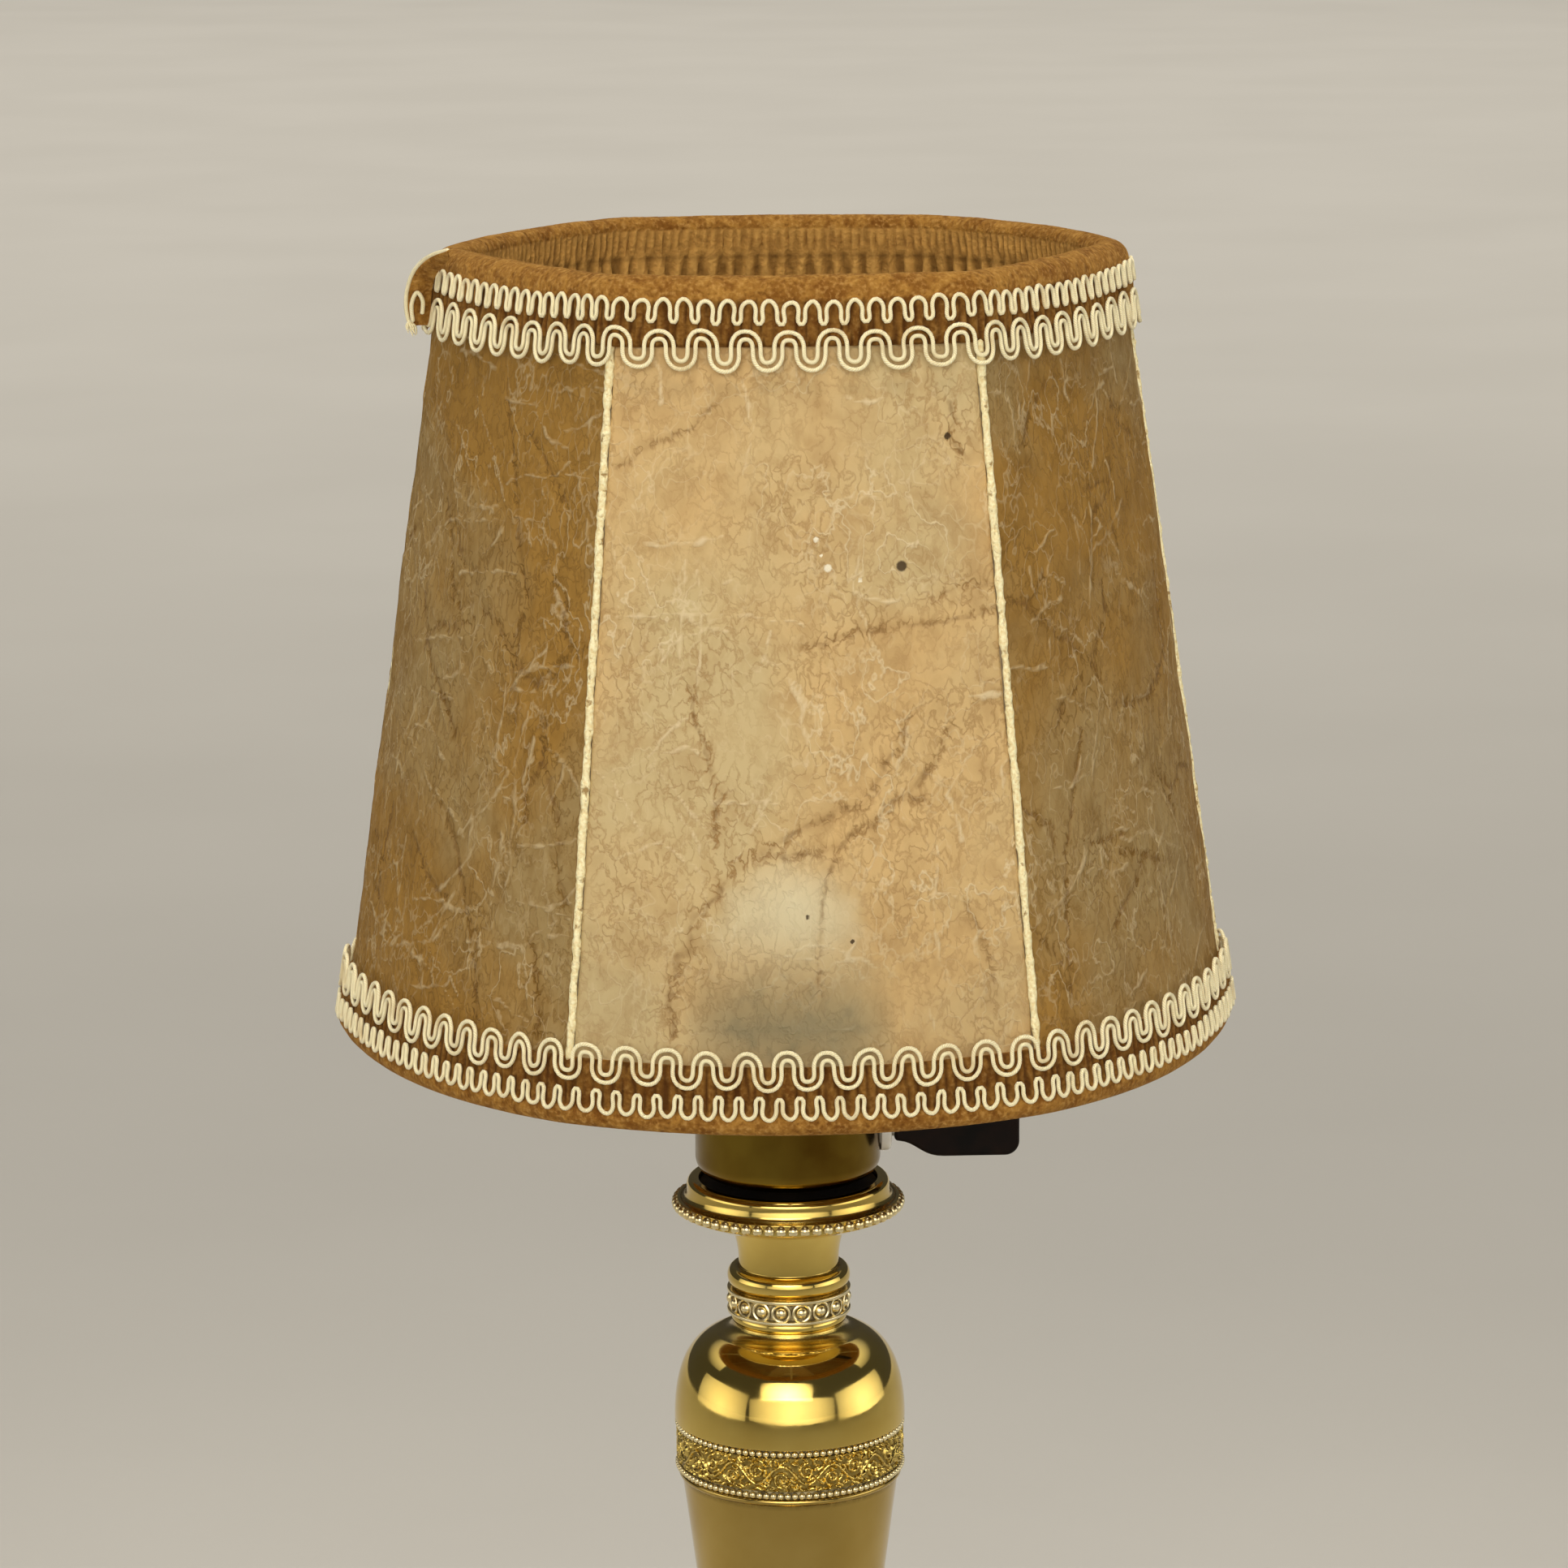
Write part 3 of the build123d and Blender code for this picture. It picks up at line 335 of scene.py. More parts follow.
def brown_velvet():
    even = {"Roughness": 0.9, "Specular IOR Level": 0.08, "Sheen Weight": 0.2, "Sheen Roughness": 0.45}
    finish, tree, shader = blank_finish("brown velvet", {**even, "Sheen Tint": (0.80, 0.50, 0.18, 1)})
    place = place_on_piece(tree)
    nap = mottle(place, 210.0, 7.0, 1.2)
    pile = mottle(place, 1100.0, 4.0)
    colour = tint(spread(nap, 0.35, 0.65), (0.20, 0.078, 0.012, 1), (0.39, 0.192, 0.038, 1))
    colour = tint(spread(pile, 0.5, 0.72, 0.0, 0.6), colour, (0.58, 0.33, 0.095, 1))
    colour = tint(spread(pile, 0.30, 0.45, 0.6, 0.0), colour, (0.13, 0.045, 0.008, 1))
    # Painted light on the inside of the rim, then painted shade in the pleats and gathers
    colour = tint(painted(tree, "painted_light"), colour, (0.66, 0.37, 0.10, 1))
    colour = tint(painted(tree, "grime_and_shade"), colour, (0.065, 0.022, 0.004, 1))
    feed(shader, "Base Color", colour)
    height = reckon("ADD", nap, reckon("MULTIPLY", pile, 0.6))
    roughened(shader, height, 0.8, 0.0009)
    return finish


def wrapped_gimp():
    """Cream cord wound with fine thread; its map is in millimetres along and round the cord."""
    even = {"Roughness": 0.55, "Specular IOR Level": 0.35, "Sheen Weight": 0.25}
    finish, tree, shader = blank_finish("cream wound gimp", even)
    slant = add_node(tree, "Mapping", {"Vector": place_on_map(tree), "Rotation": (0, 0, 0.45)}).outputs[0]
    inputs = {"Vector": slant, "Scale": 0.9, "Distortion": 0.6, "Detail": 1.0}
    thread = add_node(tree, "TexWave", inputs).outputs["Fac"]
    soiled = mottle(place_on_piece(tree), 130.0, 5.0)
    colour = tint(thread, (0.90, 0.75, 0.40, 1), (1.0, 0.95, 0.67, 1))
    colour = tint(spread(soiled, 0.54, 0.75, 0.0, 0.6), colour, (0.60, 0.41, 0.16, 1))
    feed(shader, "Base Color", colour)
    roughened(shader, thread, 0.5, 0.0002)
    return finish


def worn_lace():
    finish, tree, shader = blank_finish("worn cream lacing", {"Specular IOR Level": 0.25})
    place = place_on_piece(tree)
    chips = mottle(wandered(place, 300.0, 0.004), 420.0, 4.0)
    fluff = mottle(place, 1500.0, 4.0)
    colour = tint(spread(fluff, 0.35, 0.65), (0.84, 0.68, 0.34, 1), (1.0, 0.93, 0.60, 1))
    colour = tint(spread(chips, 0.31, 0.40, 0.9, 0.0), colour, (0.34, 0.20, 0.06, 1))
    feed(shader, "Base Color", colour)
    feed(shader, "Roughness", spread(chips, 0.3, 0.6, 0.8, 0.5))
    roughened(shader, reckon("ADD", chips, reckon("MULTIPLY", fluff, 0.5)), 0.8, 0.0008)
    return finish


def plain_finish(name, first, second, scale, rough, depth, even):
    """Finish of the smaller pieces: two colours in a grain, with an uneven gloss."""
    finish, tree, shader = blank_finish(name, even)
    grain = mottle(place_on_piece(tree), scale, 5.0)
    feed(shader, "Base Color", tint(spread(grain, 0.35, 0.65), first, second))
    feed(shader, "Roughness", spread(grain, 0.3, 0.7, *rough))
    roughened(shader, grain, 0.3, depth)
    return finish


brass = old_brass("rubbed old brass", (0.82, 0.61, 0.17, 1), (0.72, 0.51, 0.125, 1), (0.05, 0.13))
# Paler brass, painted for brighter highlights on the pearls and the studded collar
highlight_brass = old_brass("brass painted pale for highlights", (0.95, 0.84, 0.52, 1), (0.90, 0.74, 0.38, 1), (0.20, 0.32))
# Brass painted dark for the holder cap, as it sits in shade under the lampshade and reflects little light
shaded_cap_brass = old_brass("brass painted dark as shaded", (0.27, 0.175, 0.024, 1), (0.16, 0.085, 0.010, 1), (0.08, 0.26))
# Brass painted darker for the column, standing in for its dim reflections
dim_reflection_brass = old_brass("brass painted dark for dim reflections", (0.56, 0.40, 0.12, 1), (0.48, 0.33, 0.085, 1), (0.08, 0.18))
# The front panel's skin is painted much paler than the side panels', standing in for the front lit and the
# sides in shade
lit_front_skin = aged_parchment(
    "parchment, front skin painted lit",
    cool=(0.57, 0.440, 0.225, 1),
    warm=(0.625, 0.415, 0.180, 1),
    deep=(0.36, 0.215, 0.080, 1),
    crest=(0.78, 0.65, 0.41, 1),
    creased=0.45,
)
shaded_side_skin = aged_parchment(
    "parchment, side skins painted shaded",
    cool=(0.345, 0.238, 0.096, 1),
    warm=(0.335, 0.182, 0.038, 1),
    deep=(0.185, 0.094, 0.017, 1),
    crest=(0.60, 0.47, 0.27, 1),
    creased=0.6,
)

# Finishes of the smaller pieces, by the slot that they fill
plain_finishes = {
    "zinc_steel": (
        "zinc plated steel", (0.55, 0.55, 0.53, 1), (0.42, 0.42, 0.40, 1), 200.0, (0.28, 0.45), 0.0001,
        {"Metallic": 1.0},
    ),
    "cast_iron": (
        "cast iron", (0.045, 0.043, 0.042, 1), (0.095, 0.075, 0.06, 1), 300.0, (0.6, 0.85), 0.0006,
        {"Metallic": 0.8},
    ),
    "felt": (
        "green felt", (0.030, 0.075, 0.035, 1), (0.055, 0.115, 0.055, 1), 900.0, (0.9, 1.0), 0.0008,
        {"Specular IOR Level": 0.1, "Sheen Weight": 0.5},
    ),
    "black_bakelite": (
        "black bakelite", (0.004, 0.003, 0.0025, 1), (0.012, 0.006, 0.004, 1), 160.0, (0.42, 0.56), 0.0001,
        {"Specular IOR Level": 0.1},
    ),
    "black_fibre": (
        "black vulcanised fibre", (0.007, 0.006, 0.005, 1), (0.018, 0.013, 0.009, 1), 260.0, (0.5, 0.7),
        0.0003,
        {"Specular IOR Level": 0.35},
    ),
    "porcelain": (
        "glazed porcelain", (0.86, 0.84, 0.78, 1), (0.74, 0.70, 0.60, 1), 240.0, (0.10, 0.22), 0.0001,
        {"Coat Weight": 0.4, "Coat Roughness": 0.06},
    ),
    "nickel": (
        "nickel plate", (0.66, 0.63, 0.57, 1), (0.54, 0.50, 0.44, 1), 180.0, (0.18, 0.32), 0.0001,
        {"Metallic": 1.0},
    ),
    "opal_glass": (
        "opal glass", (0.90, 0.89, 0.84, 1), (0.84, 0.82, 0.75, 1), 90.0, (0.10, 0.20), 0.0001,
        {"Subsurface Weight": 0.3, "Subsurface Radius": (0.004, 0.004, 0.004), "Coat Weight": 0.3},
    ),
    "clear_glass": (
        "clear glass", (0.94, 0.96, 0.95, 1), (0.90, 0.93, 0.92, 1), 80.0, (0.02, 0.06), 0.00005,
        {"Transmission Weight": 1.0, "IOR": 1.5},
    ),
    "painted_wire": (
        "cream painted wire", (0.66, 0.56, 0.38, 1), (0.42, 0.30, 0.16, 1), 150.0, (0.45, 0.65), 0.0002,
        {"Specular IOR Level": 0.4},
    ),
}
finish_of_slot = {slot: plain_finish(*recipe) for slot, recipe in plain_finishes.items()}
finish_of_slot["polished_brass"] = brass
finish_of_slot["parchment"] = shaded_side_skin
finish_of_slot["cream_lace"] = worn_lace()
finish_of_slot["brown_velvet"] = brown_velvet()
finish_of_slot["cream_gimp"] = wrapped_gimp()
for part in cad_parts.values():
    for slot in part.material_slots:
        slot.material = finish_of_slot[slot.material.name]


# Making of pieces
def new_mesh():
    bm = bmesh.new()
    bm.loops.layers.uv.new("UVMap")
    return bm


def finished(name, bm, body, nodes, slot, finish=None, sharp=40):
    """Turn a mesh worked in millimetres into a piece, in its slot's finish unless another is given."""
    bmesh.ops.scale(bm, vec=(mm, mm, mm), verts=bm.verts)
    mesh = bpy.data.meshes.new(name)
    bm.to_mesh(mesh)
    bm.free()
    mesh.shade_smooth()
    mesh.set_sharp_from_angle(angle=math.radians(sharp))
    mesh.materials.append(finish or finish_of_slot[slot])
    piece = bpy.data.objects.new(name, mesh)
    bpy.context.scene.collection.objects.link(piece)
    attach(piece, body)
    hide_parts(*nodes)
    return piece


def edges_of(verts):
    return list(dict.fromkeys(edge for vert in verts for edge in vert.link_edges))


def faces_of(verts):
    return list(dict.fromkeys(face for vert in verts for face in vert.link_faces))


def merged(bm):
    """Close the seams of a mesh and turn its faces outwards."""
    bmesh.ops.remove_doubles(bm, verts=bm.verts, dist=0.001)
    bmesh.ops.recalc_face_normals(bm, faces=bm.faces)


def ease_edges(bm, angle, offset, segments):
    """Round the edges that turn by more than an angle in degrees."""
    crisp = [edge for edge in bm.edges if edge.calc_face_angle(0.0) > math.radians(angle)]
    rounding = {"offset": offset, "segments": segments, "profile": 0.5, "affect": "EDGES", "material": -1}
    bmesh.ops.bevel(bm, geom=crisp, clamp_overlap=True, **rounding)


def arc(centre, wide, high, start, end, steps=10):
    """Points along an elliptical arc between two angles in degrees."""
    points = []
    for step in range(steps + 1):
        angle = math.radians(start + (end - start) * step / steps)
        points.append((centre[0] + wide * math.cos(angle), centre[1] + high * math.sin(angle)))
    return points


def sweep_line(start, lead, follow, end, steps=24):
    """Points along a smooth curve with two handles."""
    corners = [Vector((*point, 0)) for point in (start, lead, follow, end)]
    return [(point.x, point.y) for point in interpolate_bezier(*corners, steps)]


def paint_hollows(bm, strength):
    """Paint grime and painted shade where the surface turns inwards."""
    grime_and_shade = bm.verts.layers.float.new("grime_and_shade")
    for vert in bm.verts:
        turn = sum(edge.calc_face_angle_signed(0.0) for edge in vert.link_edges)
        vert[grime_and_shade] = unit(-strength * turn)


def spun(bm, outline, steps=turning_steps):
    """Turn a closed outline of radius and height about the lamp's axis, with its edges eased."""
    ring = [bm.verts.new((radius, 0, height)) for radius, height in outline]
    edges = [bm.edges.new((ring[place - 1], ring[place])) for place in range(len(ring))]
    axis = {"cent": (0, 0, 0), "axis": (0, 0, 1), "angle": full_turn}
    bmesh.ops.spin(bm, geom=ring + edges, steps=steps, use_merge=True, **axis)
    merged(bm)
    ease_edges(bm, 30, edge_round, 3)


def even_shading(piece):
    """Keep the large faces of a turned piece free of the shading of its eased edges."""
    weighted = piece.modifiers.new("even shading", "WEIGHTED_NORMAL")
    weighted.keep_sharp = True
    return piece


def turned(name, outline, node, grime_and_shade=1.2, finish=brass):
    """Turned brass piece in place of a CAD node."""
    bm = new_mesh()
    spun(bm, outline)
    paint_hollows(bm, grime_and_shade)
    return even_shading(finished(name, bm, "stand", [node], "polished_brass", finish))


def repeated_round(bm, verts, count):
    """Copy a shape round the lamp's axis."""
    shape = verts + edges_of(verts) + faces_of(verts)
    axis = {"cent": (0, 0, 0), "axis": (0, 0, 1), "angle": full_turn * (count - 1) / count}
    bmesh.ops.spin(bm, geom=shape, steps=count - 1, use_duplicate=True, **axis)


def shaded_backing(bm, outline):
    """Plain turned band behind pearls, painted dark all over as the shade between them; gives the layer that
    grime and shade are painted on.
    """
    spun(bm, outline)
    grime_and_shade = bm.verts.layers.float.new("grime_and_shade")
    for vert in bm.verts:
        vert[grime_and_shade] = backing_shade
    return grime_and_shade


# Turned pieces of the stand, from the foot up
def make_foot_knop():
    low, top = heights("foot_knop")
    middle = low + knop_band_h + (top - low - 2 * knop_band_h) / 2
    half = (top - low) / 2 - knop_band_h
    outline = [
        (bore_r, low),
        (knop_neck_r, low),
        *arc((knop_neck_r, middle), reach("foot_knop") - knop_neck_r, half, -90, 90, 16),
        (column_foot_r, middle + half),
        (column_foot_r, top),
        (bore_r, top),
    ]
    turned("turned_knop", outline, "foot_knop")


def make_column():
    low, top = heights("column")
    lip = reach("column")
    shaft_top = top - column_lip_h
    shaft_r = lip - column_lip_w
    lip_half = column_lip_h / 2
    inner = shaft_r - column_wall
    taper = []
    for share in column_stations:
        taper.append((column_foot_r + (shaft_r - column_foot_r) * share, low + (shaft_top - low) * share))
    outline = [
        (bore_r, low),
        (column_foot_r, low),
        *taper,
        *arc((lip - lip_half, shaft_top + lip_half), lip_half, lip_half, -90, 90, 8),
        (inner, top),
        (inner, shaft_top),
        (column_foot_r - column_wall, low + column_plug_h),
        (bore_r, low + column_plug_h),
    ]
    turned("tapered_column", outline, "column", 1.2, dim_reflection_brass)


def make_shoulder():
    low, top = heights("shoulder")
    belly = reach("shoulder")
    inner = belly - shoulder_wall
    outline = [
        (inner, low),
        *sweep_line(
            (belly, low),
            (belly, low + shoulder_belly),
            (neck_r + shoulder_roll, top - shoulder_fall),
            (neck_r + flare_w, top - flare_h),
            40,
        ),
        *arc((neck_r + flare_w, top), flare_w - 0.05, flare_h, 264, 180, 10),
        (bore_r, top),
        (bore_r, top - shoulder_crown_t),
        (neck_r - shoulder_wall, top - shoulder_crown_t),
        (inner, low + shoulder_belly - shoulder_crown_t),
    ]
    turned("domed_shoulder", outline, "shoulder")


def make_neck_ring():
    low, top = heights("neck_ring")
    half = (top - low) / 2
    outline = [
        (bore_r, low),
        *arc((neck_r, low + half), reach("neck_ring") - neck_r, half, -90, 90, 14),
        (bore_r, top),
    ]
    turned("neck_ring_turned", outline, "neck_ring")


def make_studded_collar():
    low, top = heights("studded_collar")
    fillet = collar_r + collar_fillet_w
    ground = collar_r - collar_sink
    bm = new_mesh()
    outline = [
        (bore_r, low),
        (fillet, low),
        (fillet, low + collar_fillet_h),
        (ground, low + collar_fillet_h + 0.2),
        (ground, top - collar_fillet_h - 0.2),
        (fillet, top - collar_fillet_h),
        (fillet, top),
        (bore_r, top),
    ]
    spun(bm, outline)
    paint_hollows(bm, 1.6)
    grime_and_shade = bm.verts.layers.float["grime_and_shade"]
    # The ground of the collar between its fillets is painted dark, as grime and as shade between the studs
    for vert in bm.verts:
        if math.hypot(vert.co.x, vert.co.y) < collar_r and low + 1 < vert.co.z < top - 1:
            vert[grime_and_shade] = 0.85
    seat = Matrix.Translation((collar_r - stud_sink, 0, (low + top) / 2))
    ball = {"u_segments": 14, "v_segments": 8, "radius": stud_r * stud_ball}
    stud = bmesh.ops.create_uvsphere(bm, matrix=seat, **ball)["verts"]
    bmesh.ops.scale(bm, vec=(0.95, 1, 1), space=seat.inverted(), verts=stud)
    wire = bmesh.ops.create_circle(bm, radius=setting_wire_r, segments=6)["verts"]
    bmesh.ops.rotate(bm, cent=(0, 0, 0), matrix=Matrix.Rotation(math.pi / 2, 3, "X"), verts=wire)
    bmesh.ops.translate(bm, vec=(stud_r, 0, 0), verts=wire)
    before = set(bm.verts)
    axis = {"cent": (0, 0, 0), "axis": (0, 0, 1), "angle": full_turn}
    bmesh.ops.spin(bm, geom=wire + edges_of(wire), steps=18, use_merge=True, **axis)
    setting = [vert for vert in bm.verts if vert not in before] + wire
    bmesh.ops.translate(bm, vec=(0, 0, stud_sink), verts=setting)
    bmesh.ops.transform(bm, matrix=seat @ Matrix.Rotation(math.pi / 2, 4, "Y"), verts=setting)
    bmesh.ops.recalc_face_normals(bm, faces=faces_of(stud + setting))
    repeated_round(bm, stud + setting, stud_count)
    collar = finished("studded_collar_chased", bm, "stand", ["studded_collar"], "polished_brass", highlight_brass)
    even_shading(collar)


def make_nozzle():
    low, top = heights("nozzle")
    ring_low = low + nozzle_foot_h
    half = nozzle_ring_h / 2
    waist_low = ring_low + nozzle_ring_h
    outline = [
        (bore_r, low),
        (neck_r, low),
        *arc((neck_r, ring_low + half), reach("nozzle") - neck_r, half, -90, 90, 14),
        *sweep_line(
            (nozzle_waist_r + 0.1, waist_low),
            (nozzle_waist_r - 0.1, waist_low + nozzle_waist_rise),
            (nozzle_waist_r + 0.4, top - 3.5),
            (nozzle_top_r, top),
            24,
        ),
        (bore_r, top),
    ]
    turned("waisted_nozzle", outline, "nozzle")


def make_drip_pan():
    low, top = heights("drip_pan")
    edge = reach("drip_pan")
    pearl_low, pearl_top = heights("pan_bead_ring")
    lip_low = pearl_top + pan_cove_h
    lip = pan_moulding_r - pan_lip_round
    rim = top - pan_lip_drop
    disc = heights("insulating_disc")[0]
    outline = [
        (bore_r, disc),
        (bore_r, low),
        *sweep_line(
            (nozzle_top_r, low),
            (nozzle_top_r + 4.5, low),
            (edge - 3.5, pearl_low - 1.6),
            (edge, pearl_low),
        ),
        (edge, pearl_top),
        *sweep_line(
            (edge - 0.9, pearl_top),
            (pan_moulding_r + 0.3, pearl_top + 0.1),
            (pan_moulding_r + 0.1, lip_low - 1.4),
            (pan_moulding_r, lip_low),
            14,
        ),
        *arc((lip, rim - pan_lip_round), pan_lip_round, pan_lip_round, 0, 90, 10),
        (pan_mouth_r, rim),
        (pan_mouth_r, disc),
    ]
    turned("moulded_drip_pan", outline, "drip_pan")


def make_holder_cap():
    low, top = heights("holder_cap")
    side = reach("holder_cap")
    floor = low + cap_neck_h
    inner = side - cap_wall
    outline = [
        (bore_r, low),
        (cap_neck_r, low),
        (cap_neck_r, floor),
        *arc((side - cap_corner, floor + cap_corner), cap_corner, cap_corner, -90, 0, 12),
        (side, top),
        (inner, top),
        (inner, floor + cap_corner),
        (cap_neck_r, floor + cap_wall),
        (bore_r, floor + cap_wall),
    ]
    turned("lampholder_cap", outline, "holder_cap", 1.2, shaded_cap_brass)


def make_pearls(name, node, count):
    """Row of pearls on a thin backing band, painted dark as the shade between and behind them."""
    low, top = heights(node)
    outer = reach(node)
    pearl_r = min((top - low) / 2, 0.46 * full_turn * outer / count)
    back = outer - 1.5 * pearl_r
    bm = new_mesh()
    grime_and_shade = shaded_backing(bm, [(back - 0.6, low), (back, low), (back, top), (back - 0.6, top)])
    seat = Matrix.Translation((outer - pearl_r, 0, (low + top) / 2))
    pearl = bmesh.ops.create_uvsphere(bm, u_segments=10, v_segments=6, radius=pearl_r, matrix=seat)["verts"]
    for vert in pearl:
        # The inner half of each pearl is painted dark, as shade where it meets its backing
        vert[grime_and_shade] = 0.55 if vert.co.x < outer - 0.8 * pearl_r else 0.0
    repeated_round(bm, pearl, count)
    finished(name, bm, "stand", [node], "polished_brass", highlight_brass)


def make_foot_pearls():
    """Row of half pearls that stand on the plinth of the foot."""
    low, top = heights("foot_bead_ring")
    pearl_r = top - low
    ring_r = reach("foot_bead_ring") - pearl_r
    inner = ring_r - 0.5 * pearl_r
    outer = ring_r + 0.5 * pearl_r
    bm = new_mesh()
    shaded_backing(bm, [(inner, low), (outer, low), (outer, low + 0.4), (inner, low + 0.4)])
    seat = Vector((ring_r, 0, low))
    ball = {"u_segments": 10, "v_segments": 7, "radius": pearl_r}
    pearl = bmesh.ops.create_uvsphere(bm, matrix=Matrix.Translation(seat), **ball)["verts"]
    whole = pearl + edges_of(pearl) + faces_of(pearl)
    cut = bmesh.ops.bisect_plane(bm, geom=whole, plane_co=seat, plane_no=(0, 0, 1), clear_inner=True)
    rim = [item for item in cut["geom_cut"] if isinstance(item, bmesh.types.BMEdge)]
    bmesh.ops.contextual_create(bm, geom=rim)
    dome = [vert for vert in bm.verts if (vert.co - seat).length < pearl_r + 0.01]
    repeated_round(bm, dome, foot_pearls)
    finished("foot_pearls", bm, "stand", ["foot_bead_ring"], "polished_brass")


def distance_to(point, first, last):
    """Distance of a point from a straight stroke."""
    along = last - first
    share = unit((point - first).dot(along) / max(along.length_squared, 1e-9))
    return (point - first - along * share).length


def stroke_height(point, stroke, width):
    """Height of a rounded ridge along a stroke of points."""
    nearest = width
    for first, last in zip(stroke, stroke[1:]):
        nearest = min(nearest, distance_to(point, first, last))
    return math.sqrt(max(0.0, 1.0 - (nearest / width) ** 2))


def curl(centre, start, turns, outer, inner, steps=18):
    """Spiral stroke of a scroll."""
    points = []
    for step in range(steps + 1):
        share = step / steps
        angle = math.radians(start) + full_turn * turns * share
        radius = outer + (inner - outer) * share
        points.append(Vector((centre[0] + radius * math.cos(angle), centre[1] + radius * math.sin(angle))))
    return points


def frieze_strokes(cell_w, cell_h):
    """Strokes of one repeat: a waving stem with curls in its hollows, and small leaves in what is left."""
    rng = random.Random(23)
    stem = []
    for step in range(-2, stem_steps + 3):
        rise = stem_swing * cell_h * math.sin(2 * full_turn * step / stem_steps)
        stem.append(Vector((cell_w * step / stem_steps, rise)))
    strokes = [(stem, stem_w)]
    for place, side in ((0.125, -1), (0.375, 1), (0.625, -1), (0.875, 1)):
        centre = (cell_w * place, curl_aside * side * cell_h)
        strokes.append((curl(centre, 90 * side, curl_turns * side, curl_r, curl_eye_r), curl_w))
    taken = [point for stroke, width in strokes for point in stroke]
    for attempt in range(leaf_tries):
        root = Vector((rng.uniform(0.4, cell_w - 0.4), rng.uniform(-0.47, 0.47) * cell_h))
        lean = rng.uniform(0, full_turn)
        bend = rng.uniform(-0.9, 0.9)
        tip = root + rng.uniform(0.5, 0.9) * Vector((math.cos(lean), math.sin(lean)))
        end = tip + rng.uniform(0.3, 0.7) * Vector((math.cos(lean + bend), math.sin(lean + bend)))
        width = rng.uniform(0.28, 0.42)
        leaf = [root, tip, end]
        if min((mine - other).length for mine in leaf for other in taken) > leaf_apart:
            strokes.append((leaf, width))
            taken += leaf
    return strokes


def make_frieze():
    """Band chased from the front with running scrolls and close-set leaves."""
    low, top = heights("frieze_band")
    face_low = heights("lower_bead_line")[1]
    face_top = heights("upper_bead_line")[0]
    ground = reach("frieze_band") - 0.25
    bm = new_mesh()
    wall = ground - 3.0
    spun(bm, [(wall, low), (ground - 0.5, low), (ground - 0.5, top), (wall, top)])
    grime_and_shade = bm.verts.layers.float.new("grime_and_shade")
    cell_w = full_turn * ground / scroll_count
    cell_h = face_top - face_low
    strokes = frieze_strokes(cell_w, cell_h)
    patch = bmesh.ops.create_grid(bm, x_segments=120, y_segments=42, size=0.5, calc_uvs=True)["verts"]
    for vert in patch:
        across = (vert.co.x + 0.5) * cell_w
        up = vert.co.y * cell_h
        point = Vector((across, up))
        height = max(stroke_height(point, stroke, width) for stroke, width in strokes)
        edge = min(1.0, (0.5 * cell_h - abs(up)) / 0.3)
        chatter = 0.08 * noise.noise(Vector((across * 2.1, up * 2.1, 3.0)))
        # The ground between the raised strokes is painted darker, as grime and shade in its hollows
        vert[grime_and_shade] = 0.72 - 0.8 * min(0.9, height)
        radius = ground + (scroll_relief * height + chatter) * edge
        angle = across / ground
        vert.co = (radius * math.cos(angle), radius * math.sin(angle), up + (face_low + face_top) / 2)
    repeated_round(bm, patch, scroll_count)
    bmesh.ops.remove_doubles(bm, verts=bm.verts, dist=0.01)
    finished("chased_frieze", bm, "stand", ["frieze_band"], "polished_brass")


make_foot_knop()
make_column()
make_frieze()
make_pearls("lower_pearl_line", "lower_bead_line", line_pearls)
make_pearls("upper_pearl_line", "upper_bead_line", line_pearls)
make_shoulder()
make_neck_ring()
make_studded_collar()
make_nozzle()
make_drip_pan()
make_pearls("pan_pearls", "pan_bead_ring", pan_pearls)
make_holder_cap()
make_foot_pearls()


# Switch
key_spread = 1.2


def make_switch_bush():
    """Porcelain bush with a rounded collar, turned about the spindle."""
    low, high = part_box("switch_bush")
    start, end = low.x / mm, high.x / mm
    collar = (high.z - low.z) / 2 / mm
    cap_side = reach("holder_cap")
    bm = new_mesh()
    outline = [
        (1.5, start),
        (3.5, start),
        (3.5, cap_side),
        (collar, cap_side),
        *arc((collar - 0.9, end - 0.9), 0.9, 0.9, 0, 90, 6),
        (1.5, end),
    ]
    spun(bm, outline, 48)
    lay = Matrix.Translation((0, 0, (low.z + high.z) / 2 / mm)) @ Matrix.Rotation(math.pi / 2, 4, "Y")
    bmesh.ops.transform(bm, matrix=lay, verts=bm.verts)
    even_shading(finished("porcelain_bush", bm, "stand", ["switch_bush"], "porcelain"))


